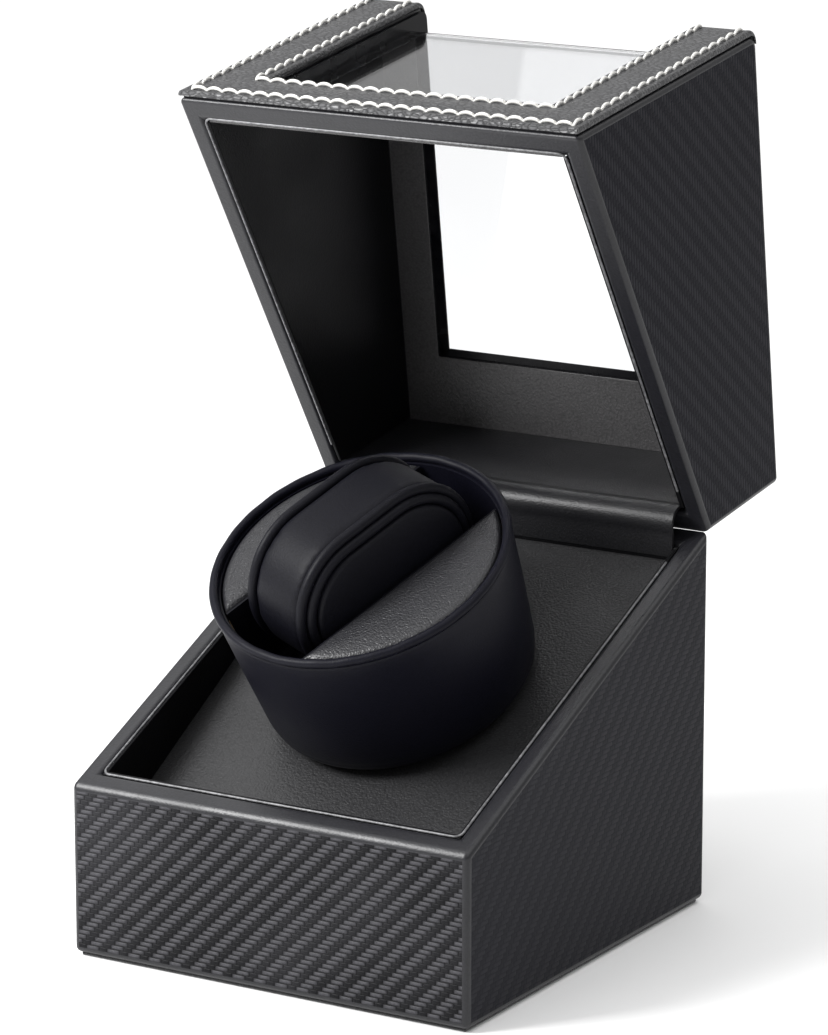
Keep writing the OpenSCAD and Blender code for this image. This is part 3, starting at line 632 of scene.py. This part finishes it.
def base_shell():
    """The base's four walls under one leather cover."""
    outer = [(-HALF_D, WALL_FOOT), (HALF_D, WALL_FOOT), (HALF_D, cut_z(HALF_D)), (-HALF_D, cut_z(-HALF_D))]
    over = 0.03
    inner = [
        (-INNER_D, -over), (INNER_D, -over), (INNER_D, cut_z(INNER_D) + over), (-INNER_D, cut_z(-INNER_D) + over)
    ]
    shell = prism("base_shell", outer, -HALF_W, HALF_W)
    carve(shell, prism("inside", inner, -INNER_W, INNER_W))
    rounded(shell, EDGE_R, tight=on_hinge_line)
    carve(shell, *hinge_room(), *control_room())
    even(shell)
    lay_weave(shell)
    walls = ("base_front_wall", "base_back_wall", "base_left_wall", "base_right_wall")
    finishes = ("carbon_leather", "carbon_leather_shaded_side", "edge_leather")
    put(shell, "base", finishes, stands_for=walls)


LINING_T = 0.0006
CORNER_R = 0.003


def window_hole():
    """The window opening, which turns from the front onto the top."""
    out = 0.02
    outline = [
        (-HALF_D - out, WINDOW_FOOT), (FRAME_IN_Y + out, WINDOW_FOOT), (FRAME_IN_Y + out, FRAME_IN_Z - out),
        (WINDOW_REAR, FRAME_IN_Z - out), (WINDOW_REAR, LID_TOP + out), (-HALF_D - out, LID_TOP + out),
    ]
    return prism("window", outline, -WINDOW_HALF_W, WINDOW_HALF_W)


def lid_shell():
    """The lid's walls and window frame under one leather cover."""
    outer = [(-HALF_D, cut_z(-HALF_D) + LID_GAP), (HALF_D, cut_z(HALF_D) + LID_GAP), (HALF_D, LID_TOP)]
    outer += arc(-HALF_D + CORNER_R, LID_TOP - CORNER_R, CORNER_R, 90, 180, 6)
    below = 0.03
    front, top = FRAME_IN_Y - LINING_T, FRAME_IN_Z + LINING_T
    inner = [(front, cut_z(front) - below), (INNER_D, cut_z(INNER_D) - below), (INNER_D, top), (front, top)]
    shell = prism("lid_shell", outer, -HALF_W, HALF_W)
    carve(shell, prism("inside", inner, -INNER_W, INNER_W), window_hole())
    rounded(shell, EDGE_R, tight=on_hinge_line)
    carve(shell, *hinge_room())
    even(shell)
    lay_weave(shell)
    walls = (
        "lid_left_wall", "lid_right_wall", "lid_back_wall", "lid_front_bar", "lid_posts", "lid_rails", "lid_rear_bar"
    )
    finishes = ("carbon_leather", "carbon_leather_shaded_lid_side", "edge_leather")
    put(shell, "lid", finishes, OPEN_LID, walls)


def window_lining():
    """The leather sheet on the inside of the lid's front and top, round the window."""
    drop = 0.0006
    x = LINED_W - 0.0001
    front, top = FRAME_IN_Y - LINING_T, FRAME_IN_Z + LINING_T
    foot = cut_z(front) + drop
    outline = [(front, foot), (FRAME_IN_Y, foot), (FRAME_IN_Y, FRAME_IN_Z)]
    outline += [(LINED_D, FRAME_IN_Z), (LINED_D, top), (front, top)]
    lining = prism("window_lining", outline, -x, x)
    carve(lining, window_hole())
    even(rounded(lining, 0.00025, 2))
    put(lining, "lid", ("frame_leather",), OPEN_LID)


def window_reveal():
    """The glossy strips that finish the edges of the window opening."""
    t = 0.0004
    step = 0.0005
    front = [
        (-HALF_D + step, WINDOW_FOOT), (FRAME_IN_Y - 0.0001, WINDOW_FOOT), (FRAME_IN_Y - 0.0001, FRAME_IN_Z),
        (WINDOW_REAR, FRAME_IN_Z), (WINDOW_REAR, LID_TOP - step),
    ]
    front += arc(-HALF_D + CORNER_R, LID_TOP - CORNER_R, CORNER_R - step, 90, 180, 6)
    bars = [prism("window_reveal", front, side * WINDOW_HALF_W, side * (WINDOW_HALF_W - t)) for side in SIDES]
    sill = oblong(-HALF_D + step, WINDOW_FOOT, FRAME_IN_Y, WINDOW_FOOT + t)
    rear = oblong(WINDOW_REAR - t, FRAME_IN_Z, WINDOW_REAR, LID_TOP - step)
    bars += [prism("bar", outline, -WINDOW_HALF_W, WINDOW_HALF_W) for outline in (sill, rear)]
    reveal = even(rounded(joined("window_reveal", bars), 0.00012, 2))
    put(reveal, "lid", ("gloss_trim",), OPEN_LID)


def lining_edge(name, body, lift, matrix):
    """The pale line along the top of the linings, open at the hinge side: their cut edge, partly a painted highlight.
    """
    x = INNER_W - 0.0001
    y0 = -INNER_D + 0.0001
    y1 = LINED_D - 0.006
    r, line_r = 0.002, 0.00034
    outline = [(-x, y1)] + arc(-x + r, y0 + r, r, 180, 270, 5) + arc(x - r, y0 + r, r, 270, 360, 5) + [(x, y1)]
    points = [Vector((px, py, cut_z(py) + lift)) for px, py in outline]
    bm = bmesh.new()
    sweep(bm, points, [line_r] * len(points), Vector((0, -math.sin(CUT_ANGLE), math.cos(CUT_ANGLE))))
    put(made(name, bm), body, ("pale_edge_and_highlight",), matrix)


def window_gasket():
    """The rubber strip that holds the pane, round the inside of its edge."""
    t, bend, step = 0.0005, 0.003, 0.0004
    width, rear_width, sill_width = 0.0031, 0.0022, 0.0012
    y, z = FRAME_IN_Y - 0.0006, FRAME_IN_Z + 0.0006
    foot, rear = WINDOW_FOOT + step, WINDOW_REAR - step
    outline = [(y, foot)] + arc(y + bend, z - bend, bend, 180, 90) + [(rear, z), (rear, z - t)]
    outline += arc(y + bend, z - bend, bend - t, 90, 180) + [(y + t, foot)]
    outer = WINDOW_HALF_W - step
    bars = [prism("bar", outline, side * outer, side * (outer - width)) for side in SIDES]
    bars.append(prism("bar", oblong(rear - rear_width, z - t, rear, z), -outer, outer))
    bars.append(prism("bar", oblong(y, foot, y + t, foot + sill_width), -outer, outer))
    gasket = even(rounded(joined("window_gasket", bars), 0.00015, 2))
    put(gasket, "lid", ("gloss_trim",), OPEN_LID)


# ---- stitched facing ----

SHEET_T = 0.0014
SEAT_LIFT = 0.0006
STITCH_IN = 0.0026
STITCH_PITCH = 0.0047
INNER_EDGE = WINDOW_HALF_W + 0.0004
BAR_TOP = WINDOW_FOOT - 0.0004


def facing_depth(x, z):
    """How far a point of the U lies inside its outline."""
    ax = abs(x)
    edges = [FACING_HI.x - ax, z - FACING_LO.z, FACING_HI.z - z]
    if z >= BAR_TOP:
        edges.append(ax - INNER_EDGE)
    elif ax <= INNER_EDGE:
        edges.append(BAR_TOP - z)
    else:
        edges.append(math.hypot(ax - INNER_EDGE, z - BAR_TOP))
    return max(min(edges), 0.0)


def facing_rise(depth):
    """Height of the padded sheet over its seat: a rolled edge, a pressed stitch line and a low crown."""
    roll = 0.0008
    rise = SHEET_T
    if depth < roll:
        rise -= roll - math.sqrt(roll * roll - (roll - depth) ** 2)
    rise -= 0.0003 * math.exp(-(((depth - STITCH_IN) / 0.0007) ** 2))
    share = min(max((depth - STITCH_IN) / 0.005, 0.0), 1.0)
    return rise + 0.00035 * share * share * (3 - 2 * share)


def graded(low, high, step, fine=0.0002, band=0.0012):
    """Places from low to high, close together near both ends."""
    near = [0.0, fine, 2 * fine, 3.2 * fine, band]
    inner = np.linspace(low + band, high - band, max(int((high - low - 2 * band) / step), 2) + 1)
    return [low + n for n in near[:-1]] + list(inner) + [high - n for n in reversed(near[:-1])]


def facing_seat(z):
    """Where the back of the facing lies: flat on the lid, then round its corner."""
    past = max(z - (LID_TOP - CORNER_R), 0.0)
    return -HALF_D - SEAT_LIFT + CORNER_R - math.sqrt(max(CORNER_R * CORNER_R - past * past, 0.0))


def facing():
    """The padded U on the lid's front frame."""
    step = 0.0007
    arm = graded(INNER_EDGE, FACING_HI.x, step)
    middle = list(np.linspace(-INNER_EDGE, INNER_EDGE, 90))
    xs = [-x for x in reversed(arm)] + middle[1:-1] + arm
    zs = graded(FACING_LO.z, BAR_TOP, step) + graded(BAR_TOP, FACING_HI.z, step)[1:]
    bm = bmesh.new()
    top, foot = {}, {}
    for i, x in enumerate(xs):
        for j, z in enumerate(zs):
            if abs(x) < INNER_EDGE - 1e-6 and z > BAR_TOP + 1e-6:
                continue
            seat = facing_seat(z)
            top[i, j] = bm.verts.new((x, seat - facing_rise(facing_depth(x, z)), z))
            foot[i, j] = bm.verts.new((x, seat, z))
    for i in range(len(xs) - 1):
        for j in range(len(zs) - 1):
            corners = [(i, j), (i + 1, j), (i + 1, j + 1), (i, j + 1)]
            mid_x, mid_z = (xs[i] + xs[i + 1]) / 2, (zs[j] + zs[j + 1]) / 2
            if abs(mid_x) < INNER_EDGE and mid_z > BAR_TOP:
                continue
            bm.faces.new([top[c] for c in corners])
            bm.faces.new([foot[c] for c in reversed(corners)])
    rim = [e for e in bm.edges if len(e.link_faces) == 1]
    pairs = {top[k]: foot[k] for k in top}
    for edge in rim:
        a, b = edge.verts
        if a in pairs and b in pairs:
            bm.faces.new((a, b, pairs[b], pairs[a]))
    sheet = made("facing", bm)
    put(sheet, "lid", ("pebble_leather",), OPEN_LID, ("facing_sheet",))


def facing_backing():
    """The recessed board under the facing, seen as the dark groove along its edge: its near-black trim is painted
    shade for that groove.
    """
    inset = 0.001
    x = FACING_HI.x - inset
    sunk = 0.0004
    outline = oblong(-HALF_D - SEAT_LIFT, FACING_LO.z + inset, -HALF_D + sunk, FACING_HI.z - CORNER_R)
    backing = prism("facing_backing", outline, -x, x)
    carve(backing, window_hole())
    put(backing, "lid", ("gloss_trim",), OPEN_LID)


def stitch_row(inset_x, foot_z, top_z):
    """Start and end of every stitch of one U-shaped row."""
    corners = [(-inset_x, top_z), (-inset_x, foot_z), (inset_x, foot_z), (inset_x, top_z)]
    spans = []
    for (x0, z0), (x1, z1) in zip(corners, corners[1:]):
        count = round(math.hypot(x1 - x0, z1 - z0) / STITCH_PITCH)
        for i in range(count):
            shares = (i / count, (i + 1) / count)
            spans.append([(x0 + (x1 - x0) * s, z0 + (z1 - z0) * s) for s in shares])
    return spans


def facing_stitches():
    """Saddle stitches: each one rises out of its hole, arches over the leather and dives into the next."""
    seat = -HALF_D - SEAT_LIFT - SHEET_T
    steps = 10
    hole_depth, arch = 0.0004, 0.00105
    thread_r, swell = 0.00030, 0.00016
    slant = 0.0002
    end = FACING_HI.z - STITCH_IN
    rows = stitch_row(FACING_HI.x - STITCH_IN, FACING_LO.z + STITCH_IN, end)
    rows += stitch_row(INNER_EDGE + STITCH_IN, BAR_TOP - STITCH_IN, end)
    bm = bmesh.new()
    for (x0, z0), (x1, z1) in rows:
        along = Vector((x1 - x0, 0, z1 - z0))
        side = Vector((along.z, 0, -along.x)).normalized()
        points, radii = [], []
        for i in range(steps + 1):
            t = i / steps
            rise = -hole_depth + arch * math.sin(math.pi * t) ** 0.55
            lean = slant * (0.5 - t)
            points.append(Vector((x0, seat - rise, z0)) + along * (0.01 + 0.98 * t) + side * lean)
            radii.append(thread_r + swell * math.sin(math.pi * t) ** 0.5)
        sweep(bm, points, radii, Vector((0, -1, 0)), sides=9)
    put(made("facing_stitches", bm), "lid", ("thread",), OPEN_LID)


# ---- leather hinge flap ----

FLAP_T = 0.0009


def flap():
    """The leather that runs from the base's back lining over the hinge and up the lid's back panel."""
    half_w = LINED_W - 0.0002
    skin = 0.0071
    base_y = -0.0073
    bulge = 0.0014
    turn = math.degrees(LID_SWING)
    leave = 90 + (90 - turn)
    line = [Vector((0, base_y, z)) for z in np.linspace(-0.0062, -0.0008, 7)]
    for phi in np.linspace(178, leave, 26):
        share = (phi - leave) / (180 - leave)
        r = skin + bulge * math.sin(math.pi * share) ** 1.2 + 0.0002 * share
        line.append(Vector((0, r * math.cos(math.radians(phi)), r * math.sin(math.radians(phi)))))
    lid_up = Vector((0, math.sin(LID_SWING), math.cos(LID_SWING)))
    lid_in = Vector((0, -math.cos(LID_SWING), math.sin(LID_SWING)))
    reach = FRAME_IN_Z - HINGE.z
    line += [lid_in * skin + lid_up * s for s in np.linspace(0.0012, reach, 26)]
    count = len(line)
    xs = np.linspace(-half_w, half_w, 61)
    bm = bmesh.new()
    skins = [[], []]
    for i, point in enumerate(line):
        tangent = (line[min(i + 1, count - 1)] - line[max(i - 1, 0)]).normalized()
        inward = Vector((0, tangent.z, -tangent.y))
        for layer, depth in ((0, 0.0), (1, FLAP_T)):
            row = []
            for x in xs:
                ripple = 0.00012 * math.sin(150 * x + 1.3) * math.sin(math.pi * min(i / 34, 1.0))
                row.append(bm.verts.new(HINGE + point + inward * (depth - ripple) + Vector((x, 0, 0))))
            skins[layer].append(row)
    outside, inside = skins
    for rows in skins:
        for first, second in zip(rows, rows[1:]):
            strip(bm, first, second)
    for end in (0, -1):
        strip(bm, [row[end] for row in outside], [row[end] for row in inside])
        strip(bm, outside[end], inside[end])
    stands_for = ("lid_back_lining",)
    sheet = put(made("hinge_flap", bm), None, ("smooth_leather",), stands_for=stands_for)
    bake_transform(sheet)
    length = sum((b - a).length for a, b in zip(line, line[1:]))
    return length


# ---- barrel ----


def cup_r(z):
    """Outer radius of the tapered cup."""
    return CUP_HI.x + (z - CUP_HI.z) * CUP_FLARE


CUP_T = 0.0025


def barrel_shell():
    """The tapered cup, with a rounded foot and a slightly swollen wall."""
    foot_r = 0.0034
    rim = CUP_HI.z
    inside = CUP_LO.z + 0.003
    hub_r = 0.005
    profile = [(hub_r, CUP_LO.z)] + arc(cup_r(CUP_LO.z) - foot_r, CUP_LO.z + foot_r, foot_r, -90, 2, 8)
    walls = np.linspace(CUP_LO.z + 1.4 * foot_r, rim - 0.0012, 12)
    profile += [(cup_r(z) + 0.00012 * math.sin((z - CUP_LO.z) / (rim - CUP_LO.z) * math.pi), z) for z in walls]
    profile += [(cup_r(rim) - 0.0003, rim - 0.0004), (cup_r(rim) - 0.0012, rim)]
    profile += [(cup_r(rim) - CUP_T, rim), (cup_r(inside) - CUP_T, inside), (hub_r, inside)]
    shell = even(lathe("barrel_shell", profile))
    put(shell, "barrel", ("barrel_leather",), ON_DECK, ("barrel_cup",))


def rim_cord():
    """The leather piping round the rim, with its sewn flange."""
    r = 0.0012
    ring_r = RIM_HI.x - r + 0.0001
    z = RIM_HI.z - r
    flange_z = CUP_HI.z - 0.0008
    profile = arc(ring_r, z, r, -60, 250, 18) + [(ring_r - 0.0004, flange_z), (ring_r + 0.0003, flange_z)]
    cord = lathe("rim_cord", profile, 160)
    for v in cord.data.vertices:
        a = math.atan2(v.co.y, v.co.x)
        v.co.z += 0.00006 * math.sin(31 * a) + 0.00005 * math.sin(17 * a + 1)
    put(cord, "barrel", ("barrel_leather",), ON_DECK, ("rim_piping",))


SLOT_HALF_W = FLOOR_HI.x
PAD_R = PAD_HI.x


def pads():
    """Two half-moon pads, crowned, rolled over at the edge and pressed flat at the rim."""
    roll = 0.0016
    crown = 0.0007
    rows, columns = 28, 72
    half_turn = math.acos(SLOT_HALF_W / PAD_R)
    bm = bmesh.new()
    for side in SIDES:
        tops, feet = [], []
        for i in range(rows + 1):
            s = 0.5 - 0.5 * math.cos(math.pi * i / rows)
            top_row, foot_row = [], []
            for k in range(columns + 1):
                a = half_turn * (2 * k / columns - 1)
                chord = Vector((SLOT_HALF_W, PAD_R * math.sin(half_turn) * a / half_turn, 0))
                rim = Vector((PAD_R * math.cos(a), PAD_R * math.sin(a), 0))
                p = chord.lerp(rim, s)
                depth = max(min(p.x - SLOT_HALF_W, PAD_R - math.hypot(p.x, p.y)), 0.0)
                fall = roll - math.sqrt(roll * roll - (roll - depth) ** 2) if depth < roll else 0.0
                share = min(depth / 0.008, 1.0)
                z = PAD_HI.z - fall + crown * share * (2 - share) - 0.0004
                top_row.append(bm.verts.new((side * p.x, p.y, z)))
                foot_row.append(bm.verts.new((side * p.x, p.y, PAD_LO.z)))
            tops.append(top_row)
            feet.append(foot_row)
        for grid in (tops, feet):
            for first, second in zip(grid, grid[1:]):
                strip(bm, first, second)
        for end in (0, -1):
            strip(bm, tops[end], feet[end])
    bmesh.ops.remove_doubles(bm, verts=bm.verts, dist=0.00002)
    pad = made("half_moon_pads", bm)
    pad = put(pad, "barrel", ("pad_leather",), ON_BARREL, ("shoulder_pads",))


def slot_lining():
    """The leather channel between the shoulders: a floor, two cheeks and their turned-over tops."""
    t, fold = 0.0006, 0.001
    floor, top = FLOOR_HI.z, PAD_HI.z - 0.0012
    x = SLOT_HALF_W + 0.0001
    half_l = math.sqrt((cup_r(FLOOR_LO.z) - CUP_T) ** 2 - SLOT_HALF_W ** 2) - 0.0004
    outline = [(-x, FLOOR_LO.z), (x, FLOOR_LO.z), (x, top), (x - t, top)]
    outline += arc(x - t - fold, floor + fold, fold, 0, -90, 5)
    outline += arc(-x + t + fold, floor + fold, fold, 270, 180, 5)
    outline += [(-x + t, top), (-x, top)]
    channel = prism("slot_lining", outline, -half_l, half_l)
    channel.data.transform(Matrix.Rotation(math.pi / 2, 4, "Z"))
    for v in channel.data.vertices:
        reach = math.sqrt((cup_r(v.co.z) - CUP_T) ** 2 - SLOT_HALF_W ** 2) - 0.0004
        v.co.y = math.copysign(reach, v.co.y)
    even(channel)
    put(channel, "barrel", ("cushion_leather",), ON_BARREL, ("slot_floor",))


# ---- cushion ----

CUSHION_MID = (CORE_LO + CORE_HI) / 2
CUSHION_R = (CORE_HI.z - CORE_LO.z) / 2
CUSHION_REACH = CORE_HI.y - CUSHION_R


def stadium(step, steps=28):
    """The cushion's (y, z) outline, stepped in."""
    r = CUSHION_R - step
    y, z = CUSHION_REACH, CUSHION_MID.z
    return arc(y, z, r, -90, 90, steps) + arc(-y, z, r, 90, 270, steps)


def inflate(pad, voxel, cap):
    """Fills a pad by cloth simulation. No point moves further than cap."""
    remesh = pad.modifiers.new("remesh", "REMESH")
    remesh.mode = "VOXEL"
    remesh.voxel_size = voxel
    settle(pad)
    rest = [v.co.copy() for v in pad.data.vertices]
    cloth = pad.modifiers.new("cloth", "CLOTH")
    cloth.settings.use_pressure = True
    cloth.settings.uniform_pressure_force = 4.0
    cloth.settings.effector_weights.gravity = 0.0
    cloth.point_cache.frame_start = 1
    cloth.point_cache.frame_end = 20
    for step in range(1, 21):
        bpy.context.scene.frame_set(step)
    settle(pad)
    bpy.context.scene.frame_set(1)
    for v, start in zip(pad.data.vertices, rest):
        move = v.co - start
        if move.length > cap:
            v.co = start + move * (cap / move.length)
    smooth = pad.modifiers.new("smooth", "SMOOTH")
    smooth.factor = 0.5
    smooth.iterations = 3
    divide = pad.modifiers.new("divide", "SUBSURF")
    divide.levels = 1
    settle(pad)
    shade(pad.data)


def cushion_band():
    """The stuffed band of the watch cushion."""
    inset = 0.0010
    half_t = CORE_HI.x - 0.0004
    core = rounded(prism("cushion_band", stadium(inset), -half_t, half_t), 0.0022, 4)
    inflate(core, 0.0016, 0.0010)
    core = put(core, "cushion", ("cushion_leather",), ON_BARREL, ("cushion_core",))


def cushion_faces():
    """The padded face on each side of the cushion, rolled over at its edge."""
    face_step = 0.0056
    roll = 0.0011
    profile = [(0.0, -0.004), (0.0, -roll)]
    profile += [(roll - roll * math.cos(a), -roll + roll * math.sin(a)) for a in np.linspace(0.3, math.pi / 2, 5)]
    profile += [(0.004, 0.0003), (0.008, 0.0006), (0.0115, 0.00075)]
    bm = bmesh.new()
    for side in SIDES:
        rings = []
        for step, lift in profile:
            outline = stadium(face_step + step)
            rings.append([bm.verts.new((side * (DISC_HI.x + lift - 0.0004), y, z)) for y, z in outline])
        for first, second in zip(rings, rings[1:]):
            strip(bm, first, second, closed=True)
        bm.faces.new(rings[0])
        bm.faces.new(rings[-1])
    faces = made("cushion_faces", bm)
    faces = put(faces, "cushion", ("cushion_leather",), ON_BARREL, ("cushion_side_discs",))


def cushion_ridges():
    """The two sewn ridges round each side of the cushion."""
    cord_r = 0.0014
    bm = bmesh.new()
    for side in SIDES:
        for step, x in ((0.0018, CORE_HI.x + 0.0001), (0.0042, CORE_HI.x + 0.0014)):
            points = [Vector((side * x, y, z)) for y, z in stadium(step)]
            sweep(bm, points, [cord_r] * len(points), Vector((1, 0, 0)), closed=True, sides=14)
    ridges = made("cushion_ridges", bm)
    ridges = put(ridges, "cushion", ("cushion_leather",), ON_BARREL)


# ---- underside ----


def felt_pad():
    """The felt sheet that the box stands on."""
    lo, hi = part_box("underside_felt")
    pad = even(rounded(prism("felt_pad", oblong(lo.y, lo.z, hi.y, hi.z), lo.x, hi.x), 0.0004, 3))
    put(pad, "base", ("felt",), stands_for=("underside_felt",))


# ---- CAD nodes that stay ----

KEPT = {
    "shaded_lining_leather": {
        "base_front_lining": 0.0004, "base_back_lining": 0.0004, "base_side_linings": 0.0004,
        "lid_side_linings": 0.0004,
    },
    "deck_leather": {"deck_panel": 0.0005},
    "board": {"bottom_board": 0.0003, "deck_battens": 0.0004, "shoulder_blocks": 0.0003},
    "steel": {
        "drive_top_plate": 0.0003, "drive_lower_plate": 0.0003, "bracket_screws": 0.0002, "motor_gearbox": 0.0004,
        "motor_can": 0.0005, "motor_screws": 0.0002, "motor_shaft": 0.0002, "control_plate_screws": 0.0002,
        "power_inlet_pin": 0.0003, "selector_body": 0.0003, "selector_shaft": 0.0002, "hinge_pins": 0.0002,
        "hub_screws": 0.0003, "spindle": 0.0003, "retaining_clip": 0.0001,
    },
    "brass": {
        "drive_posts": 0.0002, "upper_bush": 0.0002, "lower_bush": 0.0002, "motor_pinion": 0.0001,
        "hinge_base_leaves": 0.0001, "hinge_lid_leaves": 0.0001,
    },
    "magnet": {"base_magnets": 0.0003, "lid_magnets": 0.0003},
    "nylon": {"barrel_hub": 0.0003, "spindle_gear": 0.0001},
    "black_plastic": {
        "control_plate": 0.0003, "power_inlet": 0.0002, "switch_housing": 0.0003, "selector_knob": 0.0003,
    },
    "rocker_plastic": {"power_rocker": 0.0003},
    "circuit_board": {"control_board": 0.0001},
    "acrylic": {"window_pane": 0.0002},
}


def finish_kept_nodes():
    """Gives the CAD nodes that stay their finishes and rounded edges."""
    for finish, nodes in KEPT.items():
        for node, width in nodes.items():
            for slot in frame["nodes"][node].material_slots:
                slot.material = MATERIALS[finish]
            soften(node, width)


# ---- stage ----


def camera():
    """The camera stands where the fitted view of the box puts it."""
    azimuth, pitch = math.radians(31.17), math.radians(13.762)
    distance, focal_mm = 1.28802, 174.65
    forward = Vector((-math.sin(azimuth) * math.cos(pitch), math.cos(azimuth) * math.cos(pitch), -math.sin(pitch)))
    right = Vector((math.cos(azimuth), math.sin(azimuth), 0))
    up = right.cross(forward)
    aim = 0.03791 * right + 0.12236 * up - Vector((0, HALF_D, 0))
    data = bpy.data.cameras.new("camera")
    data.lens = focal_mm
    data.sensor_width = 36
    data.clip_start = 0.05
    eye = bpy.data.objects.new("camera", data)
    bpy.context.scene.collection.objects.link(eye)
    turn = Matrix((right, up, -forward)).transposed()
    eye.matrix_world = Matrix.Translation(aim - distance * forward) @ turn.to_4x4()
    bpy.context.scene.camera = eye


def softbox(name, at, aim, size, power):
    """A rectangular area light that faces aim."""
    data = bpy.data.lights.new(name, "AREA")
    data.shape = "RECTANGLE"
    data.size, data.size_y = size
    data.energy = power
    lamp = bpy.data.objects.new(name, data)
    bpy.context.scene.collection.objects.link(lamp)
    lamp.location = at
    lamp.rotation_euler = (Vector(aim) - Vector(at)).to_track_quat("-Z", "Y").to_euler()


def studio():
    """White surroundings, a key light at the front left, a broad light above and a paper floor."""
    world = bpy.data.worlds.new("studio")
    world.use_nodes = True
    world.node_tree.nodes["Background"].inputs["Color"].default_value = (1, 1, 1, 1)
    world.node_tree.nodes["Background"].inputs["Strength"].default_value = 0.58
    bpy.context.scene.world = world
    middle = (0, 0, 0.11)
    softbox("key", (-0.34, -0.42, 0.44), middle, (0.26, 0.26), 7.0)
    softbox("sky", (0, 1.4, 4.2), (0, 1.4, 0), (8, 8), 260)
    bm = bmesh.new()
    bmesh.ops.create_circle(bm, cap_ends=True, segments=64, radius=6)
    floor = made("floor", bm)
    f = Finish("floor", Specular_IOR_Level=0.1)
    cloud = f.noise(3, 2.0)
    paper = f.blend(f.ramp(cloud, 0.3, 0.7), (0.86, 0.86, 0.86), (0.88, 0.88, 0.88))
    floor.data.materials.append(f.wear(Base_Color=paper, Roughness=0.8))
    bpy.context.scene.view_settings.view_transform = "Standard"


camera()
studio()
base_shell()
lid_shell()
window_lining()
window_reveal()
window_gasket()
lining_edge("base_lining_edge", "base", -0.0004, AS_IT_IS)
lining_edge("lid_lining_edge", "lid", 0.0004, OPEN_LID)
facing()
facing_backing()
facing_stitches()
flap()
barrel_shell()
rim_cord()
pads()
slot_lining()
cushion_band()
cushion_faces()
cushion_ridges()
felt_pad()
finish_kept_nodes()
